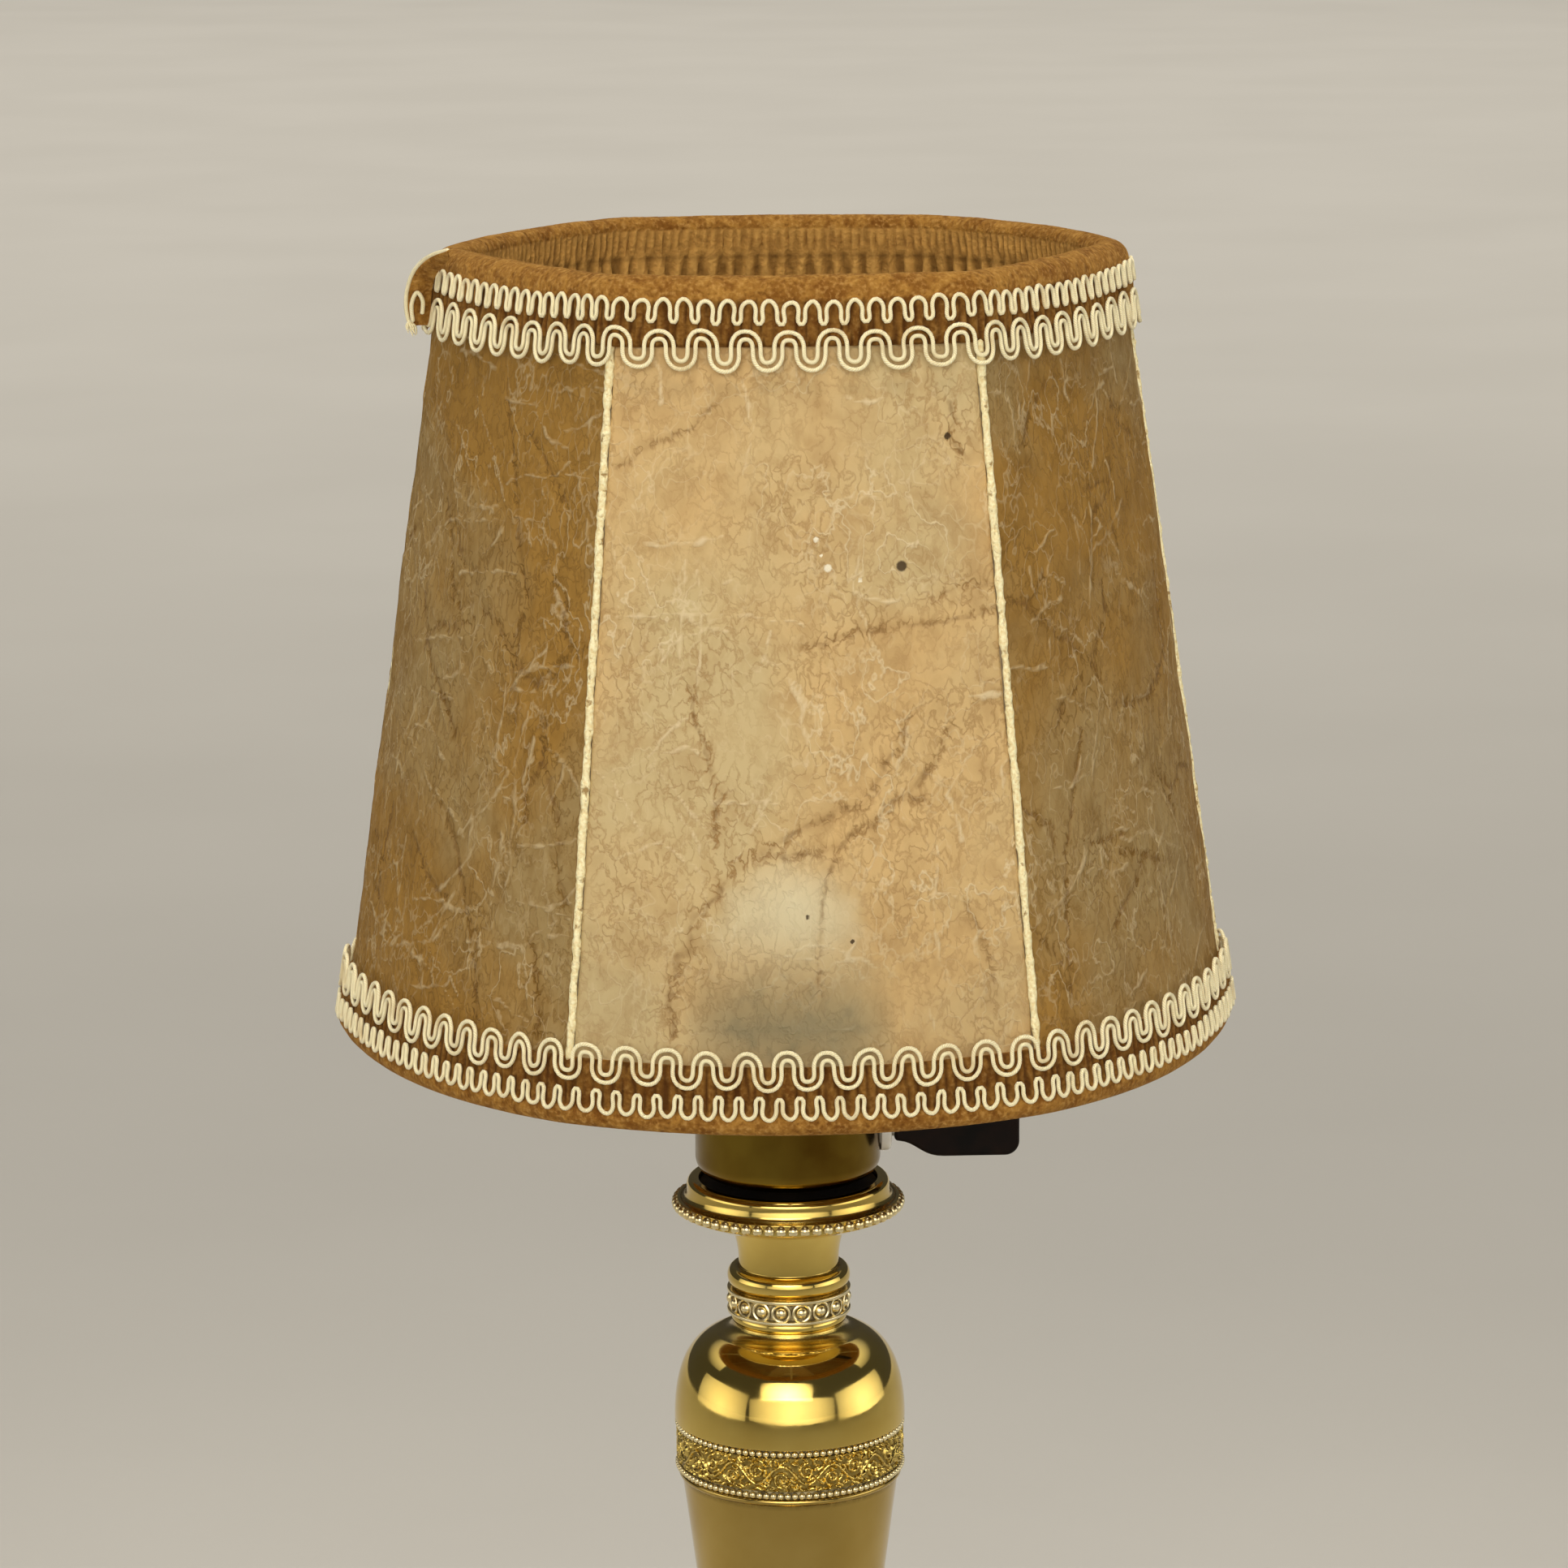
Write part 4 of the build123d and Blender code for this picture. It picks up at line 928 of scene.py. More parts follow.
def make_switch_key():
    """Flat paddle with a narrow root and soft edges."""
    low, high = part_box("switch_key")
    root, tip = low.x / mm, high.x / mm
    middle = (low.z + high.z) / 2 / mm
    half_w = (high.z - low.z) / 2 / mm + key_spread
    thick = (high.y - low.y) / mm
    flare = 11.0
    neck = 2.3
    nose = 3.2
    upper = [
        (root, neck),
        *sweep_line(
            (root + 1, neck),
            (root + 5, neck + 0.4),
            (root + flare - 5, half_w),
            (root + flare, half_w),
            10,
        ),
        *arc((tip - nose, half_w - nose), nose, nose, 90, 0, 8),
    ]
    outline = upper + [(x, -z) for x, z in reversed(upper)]
    bm = new_mesh()
    face = bm.faces.new([bm.verts.new((x, -thick / 2, middle + z)) for x, z in outline])
    pushed = bmesh.ops.extrude_face_region(bm, geom=[face])["geom"]
    far_side = [item for item in pushed if isinstance(item, bmesh.types.BMVert)]
    bmesh.ops.translate(bm, vec=(0, thick, 0), verts=far_side)
    bmesh.ops.recalc_face_normals(bm, faces=bm.faces)
    ease_edges(bm, 60, 1.3, 5)
    even_shading(finished("bakelite_key", bm, "key", ["switch_key"], "black_bakelite"))


make_switch_bush()
make_switch_key()


# Form of the shade
panel_sides = {
    "panel_back_right": 0,
    "panel_back": 1,
    "panel_back_left": 2,
    "panel_front_left": 3,
    "panel_front": 4,
    "panel_front_right": 5,
}
side_slack = [back_slack.get(node, 0.0) for node in panel_sides]


def shade_radius(z):
    return shade_bottom_r + (shade_top_r - shade_bottom_r) * (z - shade_low) / shade_h


def shade_bow(z, side):
    """Swell of a side at a height; the skins at the back stand out a little more towards the top."""
    share = (z - shade_low) / shade_h
    return bottom_bow + (top_bow + side_slack[side] - bottom_bow) * share


def side_point(side, across, z, out):
    """Point on one side of the shade, from -1 at one corner to 1 at the next, moved outwards."""
    radius = shade_radius(z)
    bow = shade_bow(z, side)
    corner = radius + out / math.cos(math.radians(30) - 2 * math.atan(2 * bow / radius))
    flat = corner * math.cos(math.radians(30))
    middle = radius * math.cos(math.radians(30)) + bow + out
    forward = flat + (middle - flat) * (1 - across * across)
    sideways = across * corner / 2
    angle = math.radians(30 + 60 * side)
    x = forward * math.cos(angle) - sideways * math.sin(angle)
    y = forward * math.sin(angle) + sideways * math.cos(angle)
    return Vector((x, y, z))


def rim_point(share, z, out, sag=0.0):
    """Point round the shade by its share of the way; corners turn softly, and trimming sags between them."""
    total = Vector((0, 0, 0))
    for shift, weight in ((-soft_corner, 0.25), (0.0, 0.5), (soft_corner, 0.25)):
        way = (share + shift) % 1.0 * 6
        side = min(5, int(way))
        across = 2 * (way - side) - 1
        hang = Vector((0, 0, sag * (1 - across * across)))
        total += weight * (side_point(side, across, z, out) - hang)
    return total


def rim_length(z, out):
    """Way round the shade at a height."""
    stations = [rim_point(step / 240, z, out) for step in range(240)]
    return sum((stations[step] - stations[step - 1]).length for step in range(240))


def wrapped(bm, along, around, place, span):
    """Lay a flat grid over a surface; its map is left in millimetres."""
    verts = bmesh.ops.create_grid(bm, x_segments=along, y_segments=around, size=0.5, calc_uvs=True)["verts"]
    uv = bm.loops.layers.uv["UVMap"]
    for face in faces_of(verts):
        for loop in face.loops:
            loop[uv].uv = (loop[uv].uv.x * span[0], loop[uv].uv.y * span[1])
    for vert in verts:
        vert.co = place(vert.co.x + 0.5, vert.co.y + 0.5)
    return verts


def cord(bm, path, thick, sides=cord_sides):
    """Round cord along a path of points and outward directions; thick gives its radius by the share along."""
    steps = len(path) - 1
    length = sum((path[step + 1][0] - path[step][0]).length for step in range(steps))
    closed = (path[0][0] - path[-1][0]).length < 0.01

    def place(along, around):
        step = round(along * steps)
        point, outward = path[step]
        if closed:
            before, after = path[(step - 1) % steps][0], path[(step + 1) % steps][0]
        else:
            before, after = path[max(step - 1, 0)][0], path[min(step + 1, steps)][0]
        forward = (after - before).normalized()
        sideways = forward.cross(outward).normalized()
        lift = sideways.cross(forward)
        angle = full_turn * around
        return point + (sideways * math.cos(angle) + lift * math.sin(angle)) * thick(step / steps)

    return wrapped(bm, steps, sides, place, (length, full_turn * thick(0.5)))


# Parchment panels
panel_across = 138
panel_up = 250
crumple_depth = 0.42
rim_calm = 22
vein_sink = 0.18
crease_rise = 0.14
stroke_waver = 0.7


def half_width(z):
    return shade_radius(z) / 2 - seam_gap / 2


def wandering_vein(rng, start, heading, length, width, depth=0):
    """Crooked vein with thinner branches, as strokes of points with their widths."""
    points = [Vector(start)]
    strokes = []
    step = 3.2
    for count in range(int(length / step)):
        heading += rng.gauss(0, 0.28)
        points.append(points[-1] + step * Vector((math.sin(heading), math.cos(heading))))
        if depth < 2 and rng.random() < 0.16:
            branch = heading + rng.choice((-1, 1)) * rng.uniform(0.5, 1.0)
            strokes += wandering_vein(rng, points[-1], branch, length * 0.45, width * 0.7, depth + 1)
    strokes.append((points, width))
    return strokes


def drawn(marks):
    return [([Vector(point) for point in points], width) for width, points in marks]


# Veins and creases seen on the front panels: a width, then distances across from the middle and heights
front_veins = [
    (1.1, [(-20, 295), (-16, 301), (-14, 303), (-12, 306), (-9, 306), (-5, 309), (-1, 311)]),
    (0.9, [(-1, 311), (5, 313.5), (8, 315.5), (13, 316), (15.5, 320.5), (17.5, 325), (20, 327), (22, 333)]),
    (1.0, [(-9, 306), (-3, 306), (3, 306.5), (7.5, 307.5), (10, 310), (14, 312), (17.5, 315), (18.5, 316.5)]),
    (0.8, [(18.5, 316.5), (22, 318), (26, 322), (28.5, 326), (31, 331)]),
    (0.7, [(18.5, 316.5), (22, 317), (26.5, 316.5)]),
    (0.8, [(-22.5, 340), (-22, 334), (-19, 327), (-18.7, 323), (-16.5, 318), (-17.5, 316.5), (-18, 308)]),
    (0.5, [(6.7, 305), (5, 301), (4, 298), (3.6, 294), (3.2, 288), (2.9, 278)]),
    (1.2, [(-20, 295), (-22.7, 294), (-23.3, 286.5), (-25.8, 285.5), (-27.8, 276), (-27, 270)]),
    (0.6, [(33, 295.5), (36, 291), (38.3, 284), (38.8, 279)]),
    (0.7, [(42, 355), (33, 353), (21, 352), (12, 351), (1, 348)]),
    (0.7, [(-37, 384), (-30, 388.6), (-22, 392), (-17, 397)]),
    (0.6, [(31, 397), (33, 393), (31, 390), (35, 385)]),
    (0.5, [(27, 357), (34, 360), (42, 359)]),
]
front_creases = [
    (0.5, [(-37, 354), (-24, 355), (-9, 354.4), (1, 353)]),
    (0.6, [(-18, 317), (-5, 317), (10, 317.3)]),
    (0.5, [(-26, 338), (-24.5, 344.6), (-24, 354.4), (-23, 366)]),
    (0.4, [(-21, 341), (-20, 352), (-20.5, 364)]),
    (0.6, [(27.3, 304), (26.7, 292.5), (28, 284)]),
    (0.6, [(21.7, 297), (28, 297.5), (35, 296.4)]),
    (0.5, [(-33, 327), (-26, 319), (-20, 312)]),
    (0.5, [(-38, 305), (-29, 309), (-21, 303)]),
    (0.4, [(13, 372), (11, 360), (15, 348)]),
    (0.4, [(-11, 402), (-9, 392), (-11, 383)]),
    (0.5, [(36, 327), (30, 318), (33, 308)]),
]
left_veins = [
    (0.8, [(15, 389), (22, 383), (29, 376)]),
    (0.6, [(4, 398), (10, 382), (16, 364), (21, 355)]),
    (1.0, [(5, 351), (10, 349), (20, 342), (26, 338), (31, 341), (36, 345), (43, 348)]),
    (0.9, [(28, 360), (33, 355), (33, 350), (36, 347)]),
    (1.0, [(-24, 350), (-21, 344), (-14, 336), (-7, 330), (-1, 324)]),
    (0.9, [(30, 332), (31, 323), (35, 316), (39, 309), (38, 304), (42, 295)]),
    (0.7, [(31, 323), (27, 316), (28, 310)]),
    (1.0, [(-2, 309), (5, 302), (8, 297), (11, 290), (16, 284), (18, 277), (20, 268)]),
    (0.8, [(34, 286), (37, 278), (39, 268)]),
]
left_creases = [
    (0.6, [(-7, 357), (5, 359), (17, 360)]),
    (0.5, [(-24, 340), (-13, 343), (-2, 344)]),
    (0.6, [(20, 294), (25, 309), (23, 321)]),
    (0.5, [(6, 304), (16, 312)]),
    (0.6, [(-20, 275), (0, 280), (7, 292)]),
    (0.5, [(14, 283), (31, 285)]),
    (0.5, [(27, 305), (35, 306), (43, 308)]),
    (0.5, [(-30, 365), (-26, 360), (-16, 367), (9, 370)]),
    (0.6, [(-8, 394), (2, 383), (8, 374)]),
    (0.5, [(16, 393), (22, 388), (28, 387)]),
    (0.5, [(2, 336), (10, 331), (14, 322), (24, 318)]),
    (0.5, [(-30, 322), (-18, 318), (-8, 311)]),
]
right_veins = [
    (0.8, [(-39, 356), (-33, 354), (-28, 357), (-26, 360)]),
    (1.0, [(-33, 354), (-26, 348), (-20, 344), (-12, 339), (-10, 336)]),
    (0.9, [(-12, 339), (-7, 344), (-2, 348), (-3, 354)]),
    (0.8, [(-4, 329), (4, 328), (13, 328), (22, 330), (29, 334)]),
    (0.5, [(-20, 326), (-27, 313), (-32, 301), (-35, 282), (-36, 272)]),
    (0.8, [(-44, 314), (-41, 312), (-36, 309), (-35, 305), (-34, 301)]),
    (0.7, [(-12, 299), (-3, 297), (7, 293)]),
    (0.8, [(-3, 296), (-7, 291), (-13, 288), (-18, 284)]),
    (0.8, [(-44, 287), (-40, 284), (-38, 280)]),
    (0.8, [(-15, 398), (-23, 393), (-27, 386)]),
]
drawn_veins = {
    "panel_front": drawn(front_veins),
    "panel_front_left": drawn(left_veins),
    "panel_front_right": drawn(right_veins),
}
drawn_creases = {"panel_front": drawn(front_creases), "panel_front_left": drawn(left_creases)}
dark_spots = [((20.9, 364.1), 1.15), ((30.9, 389.9), 0.8), ((0.8, 293.8), 0.55), ((9.9, 288.6), 0.55)]
pale_flecks = [((3.5, 369.8), 0.6), ((5.9, 364.0), 0.8), ((12.5, 361.4), 0.5), ((4.5, 366.5), 0.4)]

# Painted glow low on the front panel where the holder shows through, its bright middle, the painted shadow
# below it, and the level under which the panel is painted darker towards the bottom
painted_glow_middle = Vector((-3.0, 288))
painted_glow_r = 17.5
painted_glow_foot = 277
bright_aside = 1.3
bright_level = 296
shadow_level = 271
darker_below_level = 302

# Marks strewn over the panels from a seed
other_veins = 6
front_folds = 30
other_folds = 80


def make_panel(node, seed):
    """Crumpled skin, with its veins and creases painted on the mesh, and on the front panel its painted glow
    and painted shadow.
    """
    side = panel_sides[node]
    rng = random.Random(seed)
    low, top = heights(node)
    front = node == "panel_front"
    bm = new_mesh()
    layers = bm.verts.layers.float
    vein, crease, bloom, dusk, speck = map(layers.new, ("vein", "crease", "bloom", "dusk", "speck"))
    veins = list(drawn_veins.get(node, []))
    for count in range(0 if front else other_veins):
        start = (rng.uniform(-36, 36), rng.uniform(low + 25, top - 20))
        heading = rng.gauss(math.pi, 0.9)
        veins += wandering_vein(rng, start, heading, rng.uniform(14, 34), rng.uniform(0.35, 0.6))
    folds = list(drawn_creases.get(node, []))
    for count in range(front_folds if front else other_folds):
        start = (rng.uniform(-42, 42), rng.uniform(low + 15, top - 10))
        heading = rng.choice((0.0, math.pi / 2, math.pi / 2)) + rng.gauss(0, 0.35)
        folds += wandering_vein(rng, start, heading, rng.uniform(6, 24), rng.uniform(0.4, 0.75), 1)

    def lie(across, up):
        z = low + (top - low) * up
        share = (2 * across - 1) * half_width(z) / (shade_radius(z) / 2)
        return side_point(side, share, z, 0)

    span = (2 * half_width((low + top) / 2), top - low)
    verts = wrapped(bm, panel_across, panel_up, lie, span)
    bm.verts.index_update()
    places = []
    for vert in verts:
        z = vert.co.z
        across = (2 * (vert.index % (panel_across + 1)) / panel_across - 1) * half_width(z)
        places.append(Vector((across, z)))
    for layer, marks, strength in ((vein, veins, 1.0), (crease, folds, 0.9)):
        for points, width in marks:
            paint_stroke(verts, places, layer, points, width, strength, low, top)
    for vert, place in zip(verts, places):
        if front:
            paint_front_marks(vert, place, speck, bloom, dusk)
        fade = min(1.0, (place.y - low) / rim_calm) * min(1.0, (top - place.y) / rim_calm)
        spot = Vector((place.x + 400 * side, place.y, 0))
        swell = noise.fractal(spot / 19, 1.0, 2.0, 3)
        ridge = noise.ridged_multi_fractal(spot / 34, 0.9, 2.2, 4, 0.9, 1.6)
        crumple = max(-0.8, min(1.3, swell + 0.6 * ridge - 0.5))
        lift = crumple_depth * fade * crumple - vein_sink * vert[vein] + crease_rise * vert[crease]
        outward = Vector((vert.co.x, vert.co.y, 0)).normalized()
        vert.co += outward * lift
    bmesh.ops.recalc_face_normals(bm, faces=bm.faces)
    # The front panel gets the skin painted lit, the other panels the skin painted shaded
    skin = lit_front_skin if front else shaded_side_skin
    piece = finished(node.replace("panel", "skin"), bm, "shade", [node], "parchment", skin)
    outer = piece.data.polygons[len(piece.data.polygons) // 2]
    if outer.normal.dot(outer.center) < 0:
        piece.data.flip_normals()
    wall = piece.modifiers.new("skin thickness", "SOLIDIFY")
    wall.thickness = panel_t * mm
    wall.offset = -1.0
    return piece


def paint_stroke(verts, places, layer, points, width, strength, low, top):
    """Paint a crooked line on the panel's grid."""
    row = panel_across + 1
    step_up = (top - low) / panel_up
    for first, last in zip(points, points[1:]):
        lowest = max(0, int((min(first.y, last.y) - 3 * width - low) / step_up))
        highest = min(panel_up, int((max(first.y, last.y) + 3 * width - low) / step_up) + 1)
        for level in range(lowest, highest + 1):
            half = half_width(low + level * step_up)
            step_across = 2 * half / panel_across
            left = max(0, int((min(first.x, last.x) - 3 * width + half) / step_across))
            right = min(panel_across, int((max(first.x, last.x) + 3 * width + half) / step_across) + 1)
            for column in range(left, right + 1):
                number = level * row + column
                place = places[number]
                shift_x = noise.noise(Vector((place.x, place.y, 0)) / 2.2)
                shift_y = noise.noise(Vector((place.y, place.x, 9)) / 2.2)
                distance = distance_to(place + stroke_waver * Vector((shift_x, shift_y)), first, last)
                amount = strength * max(0.0, 1.0 - distance / (0.6 + width))
                verts[number][layer] = max(verts[number][layer], amount)


def paint_front_marks(vert, place, speck, bloom, dusk):
    """Spots and flecks, and the painted glow low on the front panel with the painted shadow below it, darker
    towards the bottom.
    """
    for marks, shade in ((dark_spots, -1), (pale_flecks, 1)):
        for spot, radius in marks:
            amount = max(0.0, 1.0 - (place - Vector(spot)).length / (2 * radius))
            if amount > abs(vert[speck]):
                vert[speck] = shade * amount
    away = place - painted_glow_middle
    ragged = 0.12 * noise.fractal(Vector((place.x, place.y, 4)) / 5, 1.0, 2.0, 3)
    dome = math.hypot(away.x / painted_glow_r, max(0.0, away.y) / painted_glow_r) + ragged
    glow = max(0.0, 1.0 - dome ** 5) * unit((place.y - painted_glow_foot) / 14)
    centre = max(0.0, 1.0 - math.hypot((away.x - bright_aside) / 16.0, (place.y - bright_level) / 13.0))
    vert[bloom] = min(0.9, 0.38 * glow + 0.42 * centre)
    shadow = max(0.0, 1.0 - (abs(away.x) / 22.0) ** 3) * max(0.0, 1.0 - abs(place.y - shadow_level) / 16)
    blot = max(0.0, noise.fractal(Vector((place.x, place.y, 8)) / 4, 1.0, 2.0, 4))
    foot = 0.16 * unit((darker_below_level - place.y) / 25)
    vert[dusk] = min(0.9, foot + (0.74 + 0.4 * blot) * shadow)


for seed, node in enumerate(panel_sides):
    make_panel(node, 40 + seed)


# Lacing of the seams, sunk where it has drawn into its seam
sunk_laces = {3: 1.3, 0: 0.5}
lace_steps = 220
lace_sway = 0.22
lace_lumps = 0.36


def lumpy_lace(share, corner):
    """Radius of a lace by the share along it; its ends close to a point."""
    if share in (0, 1):
        return 0.0
    lumps = noise.noise(Vector((share * 70, corner * 3.1, 5)))
    lumps += 0.7 * noise.noise(Vector((share * 190, corner, 1)))
    return lace_r * (1.0 + lace_lumps * lumps)


def make_laces():
    """Worn cord in each seam."""
    low, top = heights("seam_laces")
    bm = new_mesh()
    for corner in range(6):
        angle = math.radians(60 * corner)
        outward = Vector((math.cos(angle), math.sin(angle), 0))
        sideways = Vector((-outward.y, outward.x, 0))
        sunk = sunk_laces.get(corner, 0.0)
        path = []
        for step in range(lace_steps + 1):
            z = low + (top - low) * step / lace_steps
            sway = noise.noise(Vector((z / 6, corner * 7.3, 0)))
            point = outward * (shade_radius(z) + 0.05 - sunk) + sideways * lace_sway * sway
            path.append((point + Vector((0, 0, z)), outward))
        cord(bm, path, lambda share: lumpy_lace(share, corner), 10)
    merged(bm)
    finished("worn_laces", bm, "shade", ["seam_laces"], "cream_lace", sharp=60)


make_laces()


# Wire in the top rim, which follows the skins
def make_top_wire():
    low, top = heights("top_wire_ring")
    bm = new_mesh()
    path = []
    for step in range(361):
        point = rim_point(step / 360, (low + top) / 2, wire_out)
        path.append((point, Vector((point.x, point.y, 0)).normalized()))
    cord(bm, path, lambda share: (top - low) / 2, 12)
    merged(bm)
    finished("top_rim_wire", bm, "shade", ["top_wire_ring"], "painted_wire", sharp=60)


make_top_wire()


# End of the top braid that has come away at the left corner: its outer edge, and where the fold meets the rim
loose_edge = [
    (-71, -24, 424.6), (-75.4, -18, 422.6), (-78.6, -13.5, 419.4),
    (-80.4, -10.5, 415), (-80.8, -9, 410.5), (-80, -8, 406.4),
]
loose_root = [
    (-71, -22, 422.4), (-73, -17, 420), (-74.6, -12, 417),
    (-75.4, -8, 413), (-75.6, -6, 409.5), (-75.8, -5, 406.4),
]
loose_loop = [
    (-79.4, -9.4, 407.6), (-79.6, -10.2, 411.5), (-78.4, -11, 414.2),
    (-77.2, -10.8, 412.4), (-77.4, -10.2, 409.4),
]
fray_root = Vector((-80.2, -8.6, 407.8))
fray_count = 16


def drawn_through(points, steps=8):
    """Smooth line through given points."""
    spots = [Vector(point) for point in points]
    line = []
    for count in range(len(spots) - 1):
        before = spots[max(count - 1, 0)]
        after = spots[min(count + 2, len(spots) - 1)]
        lead = spots[count] + (spots[count + 1] - before) / 6
        follow = spots[count + 1] - (after - spots[count]) / 6
        line += interpolate_bezier(spots[count], lead, follow, spots[count + 1], steps + 1)[:-1]
    return line + [spots[-1]]


def loose_cords(bm):
    """Edge cord, loop and frayed tip of the loose end."""
    facing = Vector((-0.7, -0.7, 0.1)).normalized()
    for points in (loose_edge, loose_loop):
        line = drawn_through(points)
        cord(bm, [(point, facing) for point in line], lambda share: gimp_r if 0 < share < 1 else 0.05)
    rng = random.Random(5)
    for strand in range(fray_count):
        lean = Vector((rng.uniform(-0.3, 1.6), rng.uniform(-0.8, 0.8), rng.uniform(-3.4, -2.2)))
        curl_out = Vector((rng.uniform(-0.6, 0.6), rng.uniform(-0.6, 0.6), 0.3))
        line = drawn_through([fray_root, fray_root + 0.5 * lean + curl_out, fray_root + lean], 4)
        cord(bm, [(point, facing) for point in line], lambda share: 0.36 * (1.05 - share), 6)


def loose_fold(bm):
    """Fold of velvet between the loose edge and the rim."""
    outer = drawn_through(loose_edge)
    root = drawn_through(loose_root)
    steps = len(outer) - 1
    bulge = Vector((-0.5, -1.2, 0.4))

    def lie(along, around):
        step = round(along * steps)
        return outer[step].lerp(root[step], around) + bulge * math.sin(math.pi * around)

    verts = wrapped(bm, steps, 6, lie, (22.0, 5.0))
    faces = faces_of(verts)
    bmesh.ops.recalc_face_normals(bm, faces=faces)
    bmesh.ops.solidify(bm, geom=faces, thickness=0.5)


# Velvet bindings
binding_round = 900

# Gathers inside the rim: depth of a row, and its half height
upper_gather = (6.0, 3.2)
lower_gather = (12.6, 4.4)
gather_stitch = (9.4, 1.1)
upper_gather_out = 0.5
lower_gather_out = 0.8
pleat_out = 0.28
velvet_fuzz = 0.16
velvet_slack = 0.32


def near(depth, row):
    """Nearness to the middle of a row, from 0 at its edge to 1."""
    return max(0.0, 1.0 - abs(depth - row[0]) / row[1])


def make_binding(name, node, rim, into, braid_edge):
    """Velvet over a rim: pleated under the braid, rolled at the edge, and gathered inside in two rows, with
    painted shade in its pleats and gathers and painted light inside the rim.
    """
    inner_edge = rim + into * binding_h
    outer_edge = braid_edge - into * braid_overhang
    roll_r = (binding_outer - binding_inner) / 2
    roll_out = (binding_outer + binding_inner) / 2
    roll_z = rim + into * roll_r
    tuck = binding_outer - binding_edge_out
    hem_arc = arc((0, 0), tuck, tuck, 80, 0, 5)
    hem = [(binding_edge_out + r, outer_edge + into * (h - tuck)) for r, h in hem_arc]
    outside = [(binding_outer, hem[-1][1] + (roll_z - hem[-1][1]) * step / 9) for step in range(1, 10)]
    roll_arc = arc((0, 0), roll_r, roll_r, 0, 180, 14)[1:-1]
    rolled = [(roll_out + r, roll_z - into * h) for r, h in roll_arc]
    inside = [(binding_inner, roll_z + (inner_edge - roll_z) * step / 14) for step in range(15)]
    back = [
        (binding_inner + binding_t, inner_edge),
        (binding_inner + binding_t, roll_z),
        (binding_edge_out - 0.3, roll_z),
        (binding_edge_out - 0.3, outer_edge),
    ]
    profile = hem + outside + rolled + inside + back
    profile.append(profile[0])
    steps = len(profile) - 1
    fine = 2 * round(rim_length(rim, binding_inner) / 4.0)
    broad = fine // 2
    bm = new_mesh()
    grime_and_shade = bm.verts.layers.float.new("grime_and_shade")
    painted_light = bm.verts.layers.float.new("painted_light")
    tones = []
    roll_end = len(hem) + len(outside) + len(rolled)
    back_start = len(profile) - len(back) - 1

    def lie(along, around):
        spot = round(around * steps) % steps
        out, z = profile[spot]
        depth = (z - rim) * into
        round_way = Vector((math.cos(full_turn * along), math.sin(full_turn * along), 0))
        wander = 0.3 * noise.noise(round_way * 60 + Vector((0, 0, z / 5)))
        shadow = painted_lit = 0.0
        if roll_end <= spot < back_start:
            small = math.cos(full_turn * (along * fine + wander))
            large = math.cos(full_turn * (along * broad + wander))
            ridge = upper_gather_out * near(depth, upper_gather) ** 0.5 * small
            ridge += lower_gather_out * near(depth, lower_gather) ** 0.5 * large
            out -= ridge
            # Painted shade in the hollows of the gathers and along the stitches; the inside is painted
            # lighter, most on the ridges, as if lit
            shadow = max(0.0, -ridge) * 0.85 + 0.35 * near(depth, gather_stitch)
            painted_lit = 0.55 + 0.45 * max(0.0, ridge)
        elif spot < len(hem) + len(outside) - 2:
            pleat = math.cos(full_turn * (along * fine + wander * 1.6))
            out += pleat_out * pleat * unit((depth - 4) / 2)
            # Painted shade between the pleats and over the band between the braid's rows
            shadow = (0.45 + 0.5 * max(0.0, -pleat)) * unit((depth - 3.5) / 2)
        fuzz = velvet_fuzz * noise.noise(round_way * 95 + Vector((0, 0, z / 1.3)))
        slack = velvet_slack * noise.noise(round_way * 9 + Vector((0, 0, z / 7 + rim)))
        puff = 1.0 if spot < back_start else 0.0
        sag = rim_sag if into > 0 else 0.0
        point = rim_point(along, z, out + (fuzz + slack) * puff, sag)
        if abs(depth) < roll_r:
            point.z += into * 0.5 * (fuzz + slack + 0.4)
        tones.append((min(1.0, shadow), painted_lit))
        return point

    verts = wrapped(bm, binding_round, steps, lie, (rim_length(rim, 0), 60.0))
    for vert, tone in zip(verts, tones):
        vert[grime_and_shade], vert[painted_light] = tone
    bmesh.ops.remove_doubles(bm, verts=bm.verts, dist=0.002)
    if into < 0:
        loose_fold(bm)
    bmesh.ops.recalc_face_normals(bm, faces=bm.faces)
    finished(name, bm, "shade", [node], "brown_velvet", sharp=70)


make_binding("velvet_bottom_binding", "bottom_binding", shade_low, 1, heights("bottom_braid")[1])
make_binding("velvet_top_binding", "top_binding", shade_high, -1, heights("top_braid")[0])


# Gimp braids
def serpentine(swing, hold, steps, pinch):
    """One wave of a meander: share along, rise over pitch, and heading at each step.

    A low hold keeps the sides of the wave straight for longer, and pinch narrows its lows.
    """
    points = []
    x = y = 0.0

    def heading(step):
        phase = full_turn * step / steps
        level = math.cos(phase + pinch * math.cos(phase))
        return swing * math.copysign(abs(level) ** hold, level)

    for step in range(steps):
        points.append((x, y, heading(step)))
        x += math.cos(heading(step + 0.5))
        y += math.sin(heading(step + 0.5))
    middle = (max(point[1] for point in points) + min(point[1] for point in points)) / 2
    return [(px / x, (py - middle) / x, turn) for px, py, turn in points]


